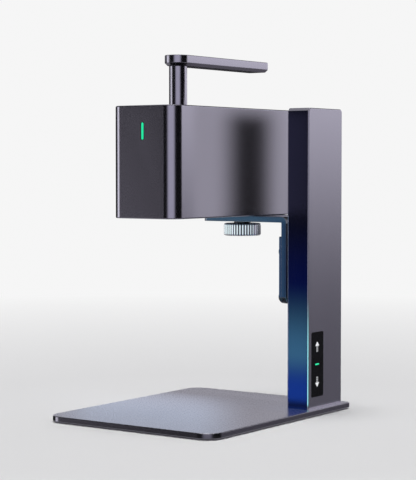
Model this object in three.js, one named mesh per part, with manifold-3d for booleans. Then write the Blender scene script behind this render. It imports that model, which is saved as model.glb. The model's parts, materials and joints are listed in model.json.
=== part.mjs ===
// Desktop laser engraver: a scanning laser head carried by a motorised lifting column on a flat base.
// Millimetres, +Z up. The origin is on the floor under the middle of the base plate.
// -Y is the front, where the head's status light is, and +X is the side with the column.

import * as THREE from 'three';
import { mergeVertices } from 'three/addons/utils/BufferGeometryUtils.js';
import Module from 'manifold-3d';

const wasm = await Module();
wasm.setup();

// ---------------------------------------------------------------- driving dimensions

// Clearances
const FACE_GAP = 0.05;      // between two flat faces that touch
const RUN_GAP = 0.1;        // radial, between a shaft and its bore

// Base
const BASE_W = 155;
const BASE_D = 195.4;
const PAD_T = 1;
const PLATE_T = 4.2;
const PLATE_CHAMFER = 0.75;
const PLATE_CORNER_R = 13;
const PLATE_COLUMN_CORNER_R = 4;
const PAD_INSET = 4;
const BASE_TOP = PAD_T + PLATE_T;

// Lifting column, in its own frame: X and Y from its middle, Z from the base plate's top
const COLUMN_X = 62.6;
const COLUMN_Y = 65.35;
const COLUMN_W = 19.4;
const COLUMN_D = 50.9;
const COLUMN_H = 235.3;
const COLUMN_WALL = 2.2;
const COLUMN_EDGE = 1.2;
const COLUMN_TOP_CHAMFER = 2.2;
const COLUMN_REAR_R = 2.5;
const COLUMN_ROOF_T = 2.5;
const COLUMN_SOCKET = { x: 5.5, z: 18.5 };
const CAVITY_HALF_W = COLUMN_W / 2 - COLUMN_WALL;
const CAVITY_HALF_D = COLUMN_D / 2 - COLUMN_WALL;

// Lift drive inside the column
const DRIVE_X = -2.4;
const ROD_R = 2.5;
const ROD_Y = 17.5;
const SCREW_R = 2.5;
const JOURNAL_R = 2;
const BEARING_R = 5;
const LIFT_TRAVEL = 70;
const LOWER_BLOCK_TOP = 11;
const UPPER_BLOCK = [141, 149];
const CARRIAGE_HALF_W = 4.6;
const CARRIAGE_HALF_D = 21.3;
const CARRIAGE_Z = [86, 134];
const TONGUE_HALF_D = 7.4;
const TONGUE_Z = [88, 130];
const TONGUE_SCREW_Z = [96, 121];
const SLOT_SIDE_GAP = 0.8;
const SLOT_END_GAP = 3;
const COLUMN_SCREW_Y = 10.5;

// Control panel in the column's right wall
const PANEL_Y = -11.65;
const PANEL_W = 18.2;
const PANEL_Z = [9.1, 60.1];
const PANEL_CORNER_R = 1.5;
const KEY_W = 15.4;
const KEY_H = 20.2;
const KEY_MID_Z = { up: 48.6, down: 20.6 };
const KEY_BACK_X = 5.6;
const KEY_FRONT_X = 9.6;
const BAR_L = 7.7;
const BAR_T = 1.6;
const BOARD_X = [3, 4.6];

// Support bracket, in the row frame
const BRACKET_T = 4.75;
const BRACKET_TOP = 155.5;
const BRACKET_LEFT = -31.5;
const BRACKET_RIGHT = 48.95;
const BRACKET_Y = [44.5, 90.8];
const BRACKET_FOOT = 86.7;
const BRACKET_BEND_R = 5;
const BRACKET_TIP_R = 4;
const BRACKET_FOOT_R = 6;
const COVER_T = 2;
const COVER_TOP = 139.7;
const COVER_SCREW_INSET = 6.1;
const COVER_SCREW_Z = [91.9, 127.7];

// Laser head, in its own frame: X from its middle, Y from its front face, Z from its underside
const HEAD_X = -10.7;
const HEAD_Y = -63.3;
const HEAD_W = 60;
const HEAD_L = 161;
const HEAD_H = 85.5;
const HEAD_WALL = 2.2;
const HEAD_R = 8.7;
const HEAD_REAR_R = 3;
const HEAD_EDGE = 0.5;
const HEAD_HALF = HEAD_W / 2;
const STATUS_LIGHT = { z: [59.1, 73], radius: 1.55 };
const HEAD_SOCKET = { x: 18.5, z: 22 };
const VENT_COUNT = 7;
const VENT_PITCH = 5;
const VENT_H = 34;
const COVER_PLATE_T = 2.6;
const LENS_Y = 59.7;
const LENS_R = 17;
const BEAM_Z = 28;
const LASER_X = -13.3;
const GALVO_R = 8;
const POST_Y = 45.5;
const POST_R = 7;
const THUMB_Y = 134.7;
const FAN_X = -7.3;
const FAN_Z = 40;
const FAN_Y = [142, 152];

// Handle, in the head's frame
const BAR_BOTTOM = 117;
const BAR_TOP = 125.2;
const BAR_HALF_W = 10;
const BAR_BEVEL = 2.2;
const BAR_SEAT = 5.4;
const BAR_FRONT = -10.5;
const BAR_REAR = 113.1;
const BAR_FRONT_R = 9.9;
const BAR_REAR_R = 2;
const BAR_TOP_EDGE = 0.5;

// Thumb screw, in the row frame
const KNOB_R = 15.2;
const KNOB_Z = [138.5, 148.7];
const KNOB_FLUTES = 48;
const FLUTE_DEPTH = 0.8;
const KNOB_EDGE = 1.4;
const THUMB_COLLAR_R = 6.8;
const THREAD_R = 3.15;
const THREAD_TOP = 161.5;

// USB-C receptacle, on edge: X by Z
const USB_SHELL = [3.2, 8.9];
const USB_THROAT = [2.5, 8.2];
const USB_TONGUE = [0.7, 6.6];
const USB_HOLE = [3.6, 9.4];

// ---------------------------------------------------------------- materials

function finish(color, roughness, metalness) {
  return new THREE.MeshStandardMaterial({ color, roughness, metalness });
}

const anodised = finish(0x55535b, 0.42, 0.75);
const anodisedPlate = finish(0x8d8b93, 0.4, 0.8);
const darkBracket = finish(0x2b333c, 0.45, 0.6);
const steel = finish(0xb9bcc2, 0.28, 1);
const blackSteel = finish(0x1d1e22, 0.4, 0.8);
const bronze = finish(0xb08a4a, 0.4, 0.9);
const castAlloy = finish(0x9b9da3, 0.5, 0.8);
const blackPlastic = finish(0x141417, 0.5, 0);
const glossPanel = finish(0x08080a, 0.12, 0);
const rubber = finish(0x1b1b1d, 0.9, 0);
const greenLight = finish(0x25f5a5, 0.3, 0);
const circuitBoard = finish(0x14442c, 0.5, 0);
const opticalGlass = finish(0xbfd4e6, 0.05, 0);
const mirrorCoat = finish(0xe6e8ec, 0.05, 1);

// ---------------------------------------------------------------- shape helpers

// A closed geometry as a solid that can be cut and joined.
function toSolid(geometry) {
  const bare = geometry.clone();
  bare.deleteAttribute('normal');
  bare.deleteAttribute('uv');
  const merged = mergeVertices(bare, 1e-4);
  const index = merged.index.array;
  const triangles = [];
  for (let i = 0; i < index.length; i += 3) {
    const [a, b, c] = [index[i], index[i + 1], index[i + 2]];
    if (a !== b && b !== c && c !== a) triangles.push(a, b, c);
  }
  return new wasm.Manifold(new wasm.Mesh({
    numProp: 3,
    vertProperties: Float32Array.from(merged.attributes.position.array),
    triVerts: Uint32Array.from(triangles),
  }));
}

function toGeometry(solid) {
  const mesh = solid.getMesh();
  const geometry = new THREE.BufferGeometry();
  geometry.setAttribute('position', new THREE.BufferAttribute(mesh.vertProperties, 3));
  geometry.setIndex(new THREE.BufferAttribute(mesh.triVerts, 1));
  return geometry;
}

function cut(geometry, ...tools) {
  let solid = toSolid(geometry);
  for (const tool of tools) solid = solid.subtract(toSolid(tool));
  return toGeometry(solid);
}

function join(...geometries) {
  let solid = toSolid(geometries[0]);
  for (const other of geometries.slice(1)) solid = solid.add(toSolid(other));
  return toGeometry(solid);
}

function common(...geometries) {
  let solid = toSolid(geometries[0]);
  for (const other of geometries.slice(1)) solid = solid.intersect(toSolid(other));
  return toGeometry(solid);
}

function box([x0, x1], [y0, y1], [z0, z1]) {
  const geometry = new THREE.BoxGeometry(x1 - x0, y1 - y0, z1 - z0);
  return geometry.translate((x0 + x1) / 2, (y0 + y1) / 2, (z0 + z1) / 2);
}

// A cylinder along one axis, from low to high; a and b are its place on the other two axes in order.
function cylinder(axis, radius, [low, high], a, b, segments = 16) {
  const geometry = new THREE.CylinderGeometry(radius, radius, high - low, segments);
  const middle = (low + high) / 2;
  if (axis === 'x') return geometry.rotateZ(-Math.PI / 2).translate(middle, a, b);
  if (axis === 'y') return geometry.translate(a, middle, b);
  return geometry.rotateX(Math.PI / 2).translate(a, b, middle);
}

// A solid of revolution about +Z through (x, y); the profile's [radius, z] points run anticlockwise.
function turned(profile, x, y, segments = 24) {
  const points = [...profile, profile[0]].map(([r, z]) => new THREE.Vector2(r, z));
  const geometry = new THREE.LatheGeometry(points, segments).rotateX(Math.PI / 2);
  return toGeometry(toSolid(geometry)).translate(x, y, 0);
}

// One corner-rounded rectangle of points; radii go front left, front right, back right, back left.
function ring([x0, x1], [y0, y1], radii, steps) {
  const [a, b, c, d] = radii;
  const corners = [
    [x0 + a, y0 + a, a, Math.PI], [x1 - b, y0 + b, b, 1.5 * Math.PI],
    [x1 - c, y1 - c, c, 0], [x0 + d, y1 - d, d, 0.5 * Math.PI],
  ];
  const points = [];
  for (const [cx, cy, radius, start] of corners) {
    for (let i = 0; i <= steps; i += 1) {
      const angle = start + (Math.PI / 2) * (i / steps);
      points.push([cx + radius * Math.cos(angle), cy + radius * Math.sin(angle)]);
    }
  }
  return points;
}

// A solid through convex outlines of equal length, given from the lowest up as [z, outline].
function loft(layers) {
  const count = layers[0][1].length;
  const positions = layers.flatMap(([z, outline]) => outline.flatMap(([x, y]) => [x, y, z]));
  const index = [];
  for (let layer = 0; layer + 1 < layers.length; layer += 1) {
    for (let i = 0; i < count; i += 1) {
      const a = layer * count + i;
      const b = layer * count + ((i + 1) % count);
      index.push(a, b, b + count, a, b + count, a + count);
    }
  }
  const top = (layers.length - 1) * count;
  for (let i = 1; i + 1 < count; i += 1) {
    index.push(0, i + 1, i);
    index.push(top, top + i, top + i + 1);
  }
  const geometry = new THREE.BufferGeometry();
  geometry.setAttribute('position', new THREE.Float32BufferAttribute(positions, 3));
  geometry.setIndex(index);
  return geometry;
}

// A flat plate with rounded corners and an equal chamfer on its upper and lower edges.
function plate(xs, ys, [low, high], radii, chamfer = 0, steps = 5) {
  if (chamfer === 0) {
    const outline = ring(xs, ys, radii, steps);
    return loft([[low, outline], [high, outline]]);
  }
  const inner = ring(
    [xs[0] + chamfer, xs[1] - chamfer], [ys[0] + chamfer, ys[1] - chamfer],
    radii.map((radius) => Math.max(radius - chamfer, 0.05)), steps,
  );
  const outer = ring(xs, ys, radii, steps);
  return loft([[low, inner], [low + chamfer, outer], [high - chamfer, outer], [high, inner]]);
}

// Turns a plate made flat in X and Y so that its X becomes Y, its Y becomes Z and its Z becomes X.
function standUp(geometry) {
  const turn = new THREE.Matrix4().makeBasis(
    new THREE.Vector3(0, 1, 0), new THREE.Vector3(0, 0, 1), new THREE.Vector3(1, 0, 0),
  );
  return geometry.applyMatrix4(turn);
}

// A rounded plate that stands in the Y and Z directions, between two places on X.
function uprightPlate(ys, zs, xs, radii, chamfer = 0, steps = 4) {
  return standUp(plate(ys, zs, xs, radii, chamfer, steps));
}

// A slot with round ends that stands in X and Z, cut or filled between two places on Y.
function uprightCapsule(x, [z0, z1], radius, [y0, y1]) {
  const shape = plate([x - radius, x + radius], [-z1, -z0], [y0, y1], [radius, radius, radius, radius]);
  return shape.rotateX(-Math.PI / 2);
}

function same(radius) {
  return [radius, radius, radius, radius];
}

function centred(middle, size) {
  return [middle - size / 2, middle + size / 2];
}

function grown([low, high], by) {
  return [low - by, high + by];
}

// ---------------------------------------------------------------- scene graph

function group(parent, x = 0, y = 0, z = 0) {
  const node = new THREE.Group();
  node.position.set(x, y, z);
  parent.add(node);
  return node;
}

function piece(parent, name, geometry, material) {
  const mesh = new THREE.Mesh(geometry, material);
  mesh.name = name;
  parent.add(mesh);
  return mesh;
}

const machine = new THREE.Group();
machine.name = 'desktop_laser_engraver';

// ---------------------------------------------------------------- base

const columnScrewPlaces = [-COLUMN_SCREW_Y, COLUMN_SCREW_Y].map((y) => [COLUMN_X + DRIVE_X, COLUMN_Y + y]);

function basePlate() {
  const blank = plate(
    centred(0, BASE_W), centred(0, BASE_D), [PAD_T + FACE_GAP, BASE_TOP],
    [PLATE_CORNER_R, PLATE_CORNER_R, PLATE_COLUMN_CORNER_R, PLATE_CORNER_R], PLATE_CHAMFER,
  );
  const bores = columnScrewPlaces.flatMap(([x, y]) => [
    cylinder('z', 2.8, [0, 8], x, y),
    cylinder('z', 4.8, [0, PAD_T + 2.6], x, y),
  ]);
  return cut(blank, ...bores);
}

function basePad() {
  const blank = plate(
    grown(centred(0, BASE_W), -PAD_INSET), grown(centred(0, BASE_D), -PAD_INSET), [0, PAD_T],
    [10, 10, 3, 10],
  );
  return cut(blank, ...columnScrewPlaces.map(([x, y]) => cylinder('z', 4.8, [-1, 2], x, y)));
}

function columnScrew(x, y) {
  const head = cylinder('z', 4.4, [PAD_T + 0.2, PAD_T + 2.3], x, y);
  const shank = cylinder('z', 2.4, [PAD_T + 2, BASE_TOP + 8], x, y);
  const socket = cylinder('z', 1.6, [0, PAD_T + 1.4], x, y, 6);
  return cut(join(head, shank), socket);
}

function addBase(parent) {
  piece(parent, 'base_plate', basePlate(), anodisedPlate);
  piece(parent, 'base_pad', basePad(), rubber);
  columnScrewPlaces.forEach(([x, y], i) => {
    piece(parent, ['column_screw_front', 'column_screw_rear'][i], columnScrew(x, y), blackSteel);
  });
}

// ---------------------------------------------------------------- column housing

// The column's side view, from the base up: chamfered at the front top edge, rounded at the rear one.
function columnOutline(below) {
  const half = COLUMN_D / 2;
  const points = [
    [-half, -below], [half, -below],
  ];
  const steps = 5;
  for (let i = 0; i <= steps; i += 1) {
    const angle = (Math.PI / 2) * (i / steps);
    points.push([
      half - COLUMN_REAR_R + COLUMN_REAR_R * Math.cos(angle),
      COLUMN_H - COLUMN_REAR_R + COLUMN_REAR_R * Math.sin(angle),
    ]);
  }
  points.push([-half + COLUMN_TOP_CHAMFER, COLUMN_H], [-half, COLUMN_H - COLUMN_TOP_CHAMFER]);
  return points;
}

// The same outline drawn in on every side, for the chamfered edges at the two cheeks.
function drawnIn(outline, by) {
  const half = COLUMN_D / 2;
  return outline.map(([y, z]) => [
    y * ((half - by) / half),
    z > 0 ? z * ((COLUMN_H - by) / COLUMN_H) : z,
  ]);
}

function columnShell() {
  const below = 4;
  const outline = columnOutline(below);
  const narrow = drawnIn(outline, COLUMN_EDGE);
  const half = COLUMN_W / 2;
  const outer = standUp(loft([
    [-half, narrow], [-half + COLUMN_EDGE, outline], [half - COLUMN_EDGE, outline], [half, narrow],
  ]));
  const foot = box([-half - 1, half + 1], centred(0, COLUMN_D + 2), [-below - 1, FACE_GAP]);
  const cavity = box(
    centred(0, 2 * CAVITY_HALF_W), centred(0, 2 * CAVITY_HALF_D), [-1, COLUMN_H - COLUMN_ROOF_T],
  );
  const slotReach = TONGUE_HALF_D + SLOT_SIDE_GAP;
  const slot = uprightPlate(
    [-slotReach, slotReach], [TONGUE_Z[0] - LIFT_TRAVEL - SLOT_END_GAP, TONGUE_Z[1] + SLOT_END_GAP],
    [-half - 1, -CAVITY_HALF_W + 1], same(2),
  );
  const panelHole = uprightPlate(
    centred(PANEL_Y, PANEL_W), PANEL_Z, [CAVITY_HALF_W - 1, half + 1], same(PANEL_CORNER_R),
  );
  const socketHole = box(
    centred(COLUMN_SOCKET.x, USB_HOLE[0]), [CAVITY_HALF_D - 2, COLUMN_D],
    centred(COLUMN_SOCKET.z, USB_HOLE[1]),
  );
  return cut(outer, foot, cavity, slot, panelHole, socketHole);
}

// A USB-C receptacle that stands on edge with its mouth at the high end of its Y range.
function usbSocket(x, z, [back, mouth]) {
  const shell = box(centred(x, USB_SHELL[0]), [back, mouth], centred(z, USB_SHELL[1]));
  const throat = box(centred(x, USB_THROAT[0]), [back + 2, mouth + 1], centred(z, USB_THROAT[1]));
  const tongue = box(centred(x, USB_TONGUE[0]), [back + 1, mouth - 1], centred(z, USB_TONGUE[1]));
  return join(cut(shell, throat), tongue);
}

// ---------------------------------------------------------------- control panel

function keySolid(midZ) {
  const ys = centred(PANEL_Y, KEY_W - 0.4);
  const zs = centred(midZ, KEY_H - 0.4);
  const cap = uprightPlate(ys, zs, [KEY_BACK_X + 0.5, KEY_FRONT_X], same(1), 0.15);
  const flange = uprightPlate(grown(ys, 0.7), grown(zs, 0.7), [KEY_BACK_X, KEY_BACK_X + 0.9], same(1));
  return join(cap, flange);
}

function panelBezel() {
  const ys = centred(PANEL_Y, PANEL_W - 0.2);
  const face = uprightPlate(ys, grown(PANEL_Z, -0.1), [6.9, KEY_FRONT_X], same(PANEL_CORNER_R), 0.15);
  const flange = uprightPlate(grown(ys, 1.4), grown(PANEL_Z, 1.4), [6.6, 7.4], same(1));
  const openings = Object.values(KEY_MID_Z).map((midZ) => uprightPlate(
    centred(PANEL_Y, KEY_W), centred(midZ, KEY_H), [5, 11], same(1.2),
  ));
  return cut(join(face, flange), ...openings, lightBar(0.1, [5, 11]));
}

function lightBar(clearance, xs) {
  const radius = BAR_T / 2 + clearance;
  const middle = (PANEL_Z[0] + PANEL_Z[1]) / 2;
  return uprightPlate(
    centred(PANEL_Y, BAR_L + 2 * clearance), [middle - radius, middle + radius], xs, same(radius),
  );
}

function controlBoard() {
  const board = box(BOARD_X, [-20.5, 21], [14, 66]);
  const socketNotch = box([2, 6], [14, 22], [13, 24]);
  const switches = Object.values(KEY_MID_Z).map((midZ) => box(
    [BOARD_X[1] - 0.2, 4.95], centred(PANEL_Y, 5), centred(midZ, 5),
  ));
  const chip = box([BOARD_X[1] - 0.2, 6], [4, 13], [36, 45]);
  const connector = box([BOARD_X[1] - 0.2, 7], [2, 12], [56, 61]);
  return join(cut(board, socketNotch), ...switches, chip, connector);
}

// ---------------------------------------------------------------- lift drive

function rodBlock([low, high], pocketFloor) {
  const body = box(centred(0, 2 * CAVITY_HALF_W - 0.6), centred(0, 2 * CAVITY_HALF_D - 0.5), [low, high]);
  const bores = [-ROD_Y, ROD_Y].map((y) => (
    cylinder('z', ROD_R + RUN_GAP, [low + 2.5, high + 1], DRIVE_X, y)
  ));
  const pocket = cylinder('z', BEARING_R + RUN_GAP, [pocketFloor, high + 1], DRIVE_X, 0);
  return cut(body, ...bores, pocket);
}

function lowerRodBlock() {
  const threads = [-COLUMN_SCREW_Y, COLUMN_SCREW_Y].map((y) => (
    cylinder('z', 2.55, [-1, 9], DRIVE_X, y)
  ));
  const panelRoom = box([4.7, 8], [-24, 1], [7.3, LOWER_BLOCK_TOP + 1]);
  return cut(rodBlock([FACE_GAP, LOWER_BLOCK_TOP], 5), ...threads, panelRoom);
}

function upperRodBlock() {
  const body = rodBlock(UPPER_BLOCK, UPPER_BLOCK[0] + 3);
  const rodHoles = [-ROD_Y, ROD_Y].map((y) => (
    cylinder('z', ROD_R + RUN_GAP, [UPPER_BLOCK[0] - 1, UPPER_BLOCK[1] - 2], DRIVE_X, y)
  ));
  const shaftHole = cylinder('z', SCREW_R + 1, [UPPER_BLOCK[0] - 1, UPPER_BLOCK[1]], DRIVE_X, 0);
  const filled = join(body, ...[-ROD_Y, ROD_Y].map((y) => (
    cylinder('z', ROD_R + 1, [UPPER_BLOCK[1] - 2, UPPER_BLOCK[1]], DRIVE_X, y)
  )));
  return cut(filled, ...rodHoles, shaftHole);
}

function ballBearing([low, high]) {
  const bore = JOURNAL_R + RUN_GAP;
  return turned([[bore, low], [BEARING_R, low], [BEARING_R, high], [bore, high]], DRIVE_X, 0, 16);
}

function guideRod(y) {
  return cylinder('z', ROD_R, [3, UPPER_BLOCK[1] - 2.5], DRIVE_X, y);
}

function leadScrew() {
  const thread = cylinder('z', SCREW_R, [LOWER_BLOCK_TOP - 0.5, UPPER_BLOCK[0] + 2.5], DRIVE_X, 0, 10);
  const journal = cylinder('z', JOURNAL_R, [5.5, 157], DRIVE_X, 0, 10);
  return join(thread, journal);
}

function shaftCoupling() {
  const sleeve = cylinder('z', 4.5, [151, 165.5], DRIVE_X, 0);
  const screwBore = cylinder('z', JOURNAL_R + 0.05, [150, 157.5], DRIVE_X, 0, 10);
  const shaftBore = cylinder('z', 1.6, [157, 167], DRIVE_X, 0, 10);
  return cut(sleeve, screwBore, shaftBore);
}

function motorMount() {
  const xs = [DRIVE_X - 4.9, DRIVE_X + 4.9];
  const legs = [-1, 1].map((side) => box(xs, centred(side * 9, 2), [UPPER_BLOCK[1] + FACE_GAP, 168.2]));
  const feet = [-1, 1].map((side) => box(
    xs, centred(side * 12.5, 9), [UPPER_BLOCK[1] + FACE_GAP, UPPER_BLOCK[1] + 2],
  ));
  const shelf = box(xs, [-10, 10], [166.2, 168.2]);
  const shaftHole = cylinder('z', 2.2, [160, 170], DRIVE_X, 0);
  return cut(join(shelf, ...legs, ...feet), shaftHole);
}

function gearMotor() {
  const xs = [DRIVE_X - 4.9, DRIVE_X + 4.9];
  const gearbox = box(xs, [-6, 6], [168.25, 177.5]);
  const can = common(
    cylinder('z', 6, [177.3, 193], DRIVE_X, 0),
    box(xs, [-7, 7], [177, 194]),
  );
  const boss = cylinder('z', 2.6, [192.8, 194.2], DRIVE_X, 0);
  const shaft = cylinder('z', 1.5, [158.5, 168.5], DRIVE_X, 0, 10);
  return join(gearbox, can, boss, shaft);
}

// A small lever switch that the carriage meets at the end of its travel.
function limitSwitch([low, high], leverDown) {
  const ys = [4.5, 11.5];
  const xs = [DRIVE_X - 3, DRIVE_X + 3];
  const [bodyLow, bodyHigh] = leverDown ? [low + 1.2, high] : [low, high - 1.2];
  const lever = leverDown ? [low, bodyLow + 0.5] : [bodyHigh - 0.5, high];
  return join(box(xs, ys, [bodyLow, bodyHigh]), box(grown(xs, -1.5), [5.5, 7], lever));
}

function addColumn(parent) {
  piece(parent, 'column_shell', columnShell(), anodised);
  piece(parent, 'column_usb_socket', usbSocket(COLUMN_SOCKET.x, COLUMN_SOCKET.z, [16, 25.2]), steel);
  piece(parent, 'panel_bezel', panelBezel(), glossPanel);
  piece(parent, 'panel_light_bar', lightBar(0, [4.7, KEY_FRONT_X]), greenLight);
  piece(parent, 'control_board', controlBoard(), circuitBoard);
  piece(parent, 'lower_rod_block', lowerRodBlock(), castAlloy);
  piece(parent, 'upper_rod_block', upperRodBlock(), castAlloy);
  piece(parent, 'guide_rod_front', guideRod(-ROD_Y), steel);
  piece(parent, 'guide_rod_rear', guideRod(ROD_Y), steel);
  piece(parent, 'lower_screw_bearing', ballBearing([6, 10]), steel);
  piece(parent, 'upper_screw_bearing', ballBearing([UPPER_BLOCK[0] + 4, UPPER_BLOCK[1] - 0.2]), steel);
  piece(parent, 'motor_mount', motorMount(), castAlloy);
  piece(parent, 'gear_motor', gearMotor(), castAlloy);
  piece(parent, 'lower_limit_switch', limitSwitch([LOWER_BLOCK_TOP + FACE_GAP, 15.2], false), blackPlastic);
  piece(parent, 'upper_limit_switch', limitSwitch([135, UPPER_BLOCK[0] - FACE_GAP], true), blackPlastic);
}

function addKeys(parent) {
  piece(parent, 'up_key', keySolid(KEY_MID_Z.up), glossPanel);
  piece(parent, 'down_key', keySolid(KEY_MID_Z.down), glossPanel);
}

function addScrew(parent) {
  piece(parent, 'lead_screw', leadScrew(), steel);
  piece(parent, 'shaft_coupling', shaftCoupling(), castAlloy);
}

// ---------------------------------------------------------------- carriage

function carriage() {
  const left = BRACKET_RIGHT - COLUMN_X + FACE_GAP;
  const body = box(
    [DRIVE_X - CARRIAGE_HALF_W, DRIVE_X + CARRIAGE_HALF_W], [-CARRIAGE_HALF_D, CARRIAGE_HALF_D], CARRIAGE_Z,
  );
  const tongue = box([left, DRIVE_X], [-TONGUE_HALF_D, TONGUE_HALF_D], TONGUE_Z);
  const bushBores = [-ROD_Y, ROD_Y].map((y) => cylinder('z', 3.55, grown(CARRIAGE_Z, 1), DRIVE_X, y));
  const nutBore = cylinder('z', 4.05, grown(CARRIAGE_Z, 1), DRIVE_X, 0);
  const threads = TONGUE_SCREW_Z.map((z) => cylinder('x', 1.9, [left - 1, -7.6], 0, z, 10));
  return cut(join(body, tongue), ...bushBores, nutBore, ...threads);
}

function sleeve(inner, outer, [low, high], y) {
  return turned([[inner, low], [outer, low], [outer, high], [inner, high]], DRIVE_X, y, 16);
}

function tongueScrew(z) {
  const face = BRACKET_RIGHT - COLUMN_X;
  const head = cylinder('x', 3.6, [face - 4.4, face - 2.2], 0, z);
  const shank = cylinder('x', 1.8, [face - 2.6, -7.9], 0, z, 10);
  const socket = cylinder('x', 1.3, [face - 5, face - 3.2], 0, z, 6);
  return cut(join(head, shank), socket);
}

function addCarriage(parent) {
  piece(parent, 'carriage', carriage(), castAlloy);
  piece(parent, 'lead_nut', sleeve(SCREW_R + RUN_GAP, 4, [100, 120], 0), bronze);
  piece(parent, 'rod_bush_front', sleeve(ROD_R + RUN_GAP, 3.5, grown(CARRIAGE_Z, -0.5), -ROD_Y), bronze);
  piece(parent, 'rod_bush_rear', sleeve(ROD_R + RUN_GAP, 3.5, grown(CARRIAGE_Z, -0.5), ROD_Y), bronze);
  TONGUE_SCREW_Z.forEach((z, i) => {
    piece(parent, ['tongue_screw_lower', 'tongue_screw_upper'][i], tongueScrew(z), blackSteel);
  });
}

// ---------------------------------------------------------------- support bracket

// The bent plate's front view: a shelf under the head and a leg along the column.
function bracketProfile() {
  const shape = new THREE.Shape();
  const underside = BRACKET_TOP - BRACKET_T;
  const innerLeft = BRACKET_RIGHT - BRACKET_T;
  const innerR = 0.6;
  shape.moveTo(BRACKET_LEFT, underside);
  shape.lineTo(innerLeft - innerR, underside);
  shape.absarc(innerLeft - innerR, underside - innerR, innerR, Math.PI / 2, 0, true);
  shape.lineTo(innerLeft, BRACKET_FOOT);
  shape.lineTo(BRACKET_RIGHT, BRACKET_FOOT);
  shape.absarc(
    BRACKET_RIGHT - BRACKET_BEND_R, BRACKET_TOP - BRACKET_BEND_R, BRACKET_BEND_R, 0, Math.PI / 2, false,
  );
  shape.lineTo(BRACKET_LEFT, BRACKET_TOP);
  return shape;
}

function supportBracket() {
  const depth = BRACKET_Y[1] - BRACKET_Y[0];
  const settings = { depth, bevelEnabled: false, curveSegments: 6 };
  const bent = new THREE.ExtrudeGeometry(bracketProfile(), settings);
  bent.rotateX(Math.PI / 2).translate(0, BRACKET_Y[1], 0);
  const fromAbove = plate(
    [BRACKET_LEFT, BRACKET_RIGHT + 1], BRACKET_Y, [BRACKET_FOOT - 1, BRACKET_TOP + 1],
    [BRACKET_TIP_R, 0.05, 0.05, BRACKET_TIP_R],
  );
  const fromTheSide = uprightPlate(
    BRACKET_Y, [BRACKET_FOOT, BRACKET_TOP + 1], [BRACKET_LEFT - 1, BRACKET_RIGHT + 2],
    [BRACKET_FOOT_R, BRACKET_FOOT_R, 0.05, 0.05],
  );
  const thumbHole = cylinder('z', 3.6, [BRACKET_TOP - 10, BRACKET_TOP + 1], HEAD_X, HEAD_Y + THUMB_Y);
  const screwHoles = TONGUE_SCREW_Z.flatMap((z) => [
    cylinder('x', 2.2, [BRACKET_RIGHT - 10, BRACKET_RIGHT + 1], COLUMN_Y, BASE_TOP + z, 10),
    cylinder('x', 3.9, [BRACKET_RIGHT - 10, BRACKET_RIGHT - 2], COLUMN_Y, BASE_TOP + z),
  ]);
  const coverThreads = coverScrewPlaces().map(([y, z]) => (
    cylinder('x', 1.9, [BRACKET_RIGHT - 10, BRACKET_RIGHT + 1], y, z, 10)
  ));
  return cut(common(bent, fromAbove, fromTheSide), thumbHole, ...screwHoles, ...coverThreads);
}

function coverScrewPlaces() {
  const ys = [BRACKET_Y[0] + COVER_SCREW_INSET, BRACKET_Y[1] - COVER_SCREW_INSET];
  return ys.flatMap((y) => COVER_SCREW_Z.map((z) => [y, z]));
}

function bracketCover() {
  const right = BRACKET_RIGHT - BRACKET_T - FACE_GAP;
  const blank = uprightPlate(
    BRACKET_Y, [BRACKET_FOOT, COVER_TOP], [right - COVER_T, right],
    [BRACKET_FOOT_R, BRACKET_FOOT_R, 1, 1], 0.3,
  );
  return cut(blank, ...coverScrewPlaces().map(([y, z]) => cylinder('x', 2.1, [30, 50], y, z, 10)));
}

function coverScrew(y, z) {
  const seat = BRACKET_RIGHT - BRACKET_T - FACE_GAP - COVER_T - FACE_GAP;
  const dome = turned(
    [[0, 0], [4.4, 0], [4.4, 0.6], [3.6, 1.5], [2.2, 2.1], [0, 2.2]], 0, 0, 14,
  ).rotateY(-Math.PI / 2).translate(seat, y, z);
  const shank = cylinder('x', 1.8, [seat - 1, BRACKET_RIGHT - 0.4], y, z, 10);
  const socket = cylinder('x', 1.4, [seat - 4, seat - 0.9], y, z, 6);
  return cut(join(dome, shank), socket);
}

function addBracket(parent) {
  piece(parent, 'support_bracket', supportBracket(), darkBracket);
  piece(parent, 'bracket_cover', bracketCover(), darkBracket);
  const names = ['front_lower', 'front_upper', 'rear_lower', 'rear_upper'];
  coverScrewPlaces().forEach(([y, z], i) => {
    piece(parent, `cover_screw_${names[i]}`, coverScrew(y, z), blackSteel);
  });
}

// ---------------------------------------------------------------- head casing

function headRadii(inset) {
  const front = HEAD_R - inset;
  const rear = HEAD_REAR_R - inset;
  return [front, front, rear, rear];
}

function headInside(gap, [low, high], chamfer = 0) {
  const by = HEAD_WALL + gap;
  return plate(
    [-HEAD_HALF + by, HEAD_HALF - by], [by, HEAD_L - by], [low, high], headRadii(by), chamfer,
  );
}

function ventSlots() {
  return Array.from({ length: VENT_COUNT }, (_, i) => {
    const place = FAN_X + (i - (VENT_COUNT - 1) / 2) * VENT_PITCH;
    return box(centred(place, 2.4), [HEAD_L - 5, HEAD_L + 2], centred(FAN_Z, VENT_H));
  });
}

function headShell() {
  const outer = plate(
    [-HEAD_HALF, HEAD_HALF], [0, HEAD_L], [FACE_GAP, HEAD_H], headRadii(0), HEAD_EDGE, 6,
  );
  const inner = headInside(0, [-2, HEAD_H + 2]);
  const light = uprightCapsule(0, STATUS_LIGHT.z, STATUS_LIGHT.radius, [-2, 5]);
  const socket = box(
    centred(HEAD_SOCKET.x, USB_HOLE[0]), [HEAD_L - 5, HEAD_L + 2], centred(HEAD_SOCKET.z, USB_HOLE[1]),
  );
  return cut(outer, inner, light, socket, ...ventSlots());
}

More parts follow.
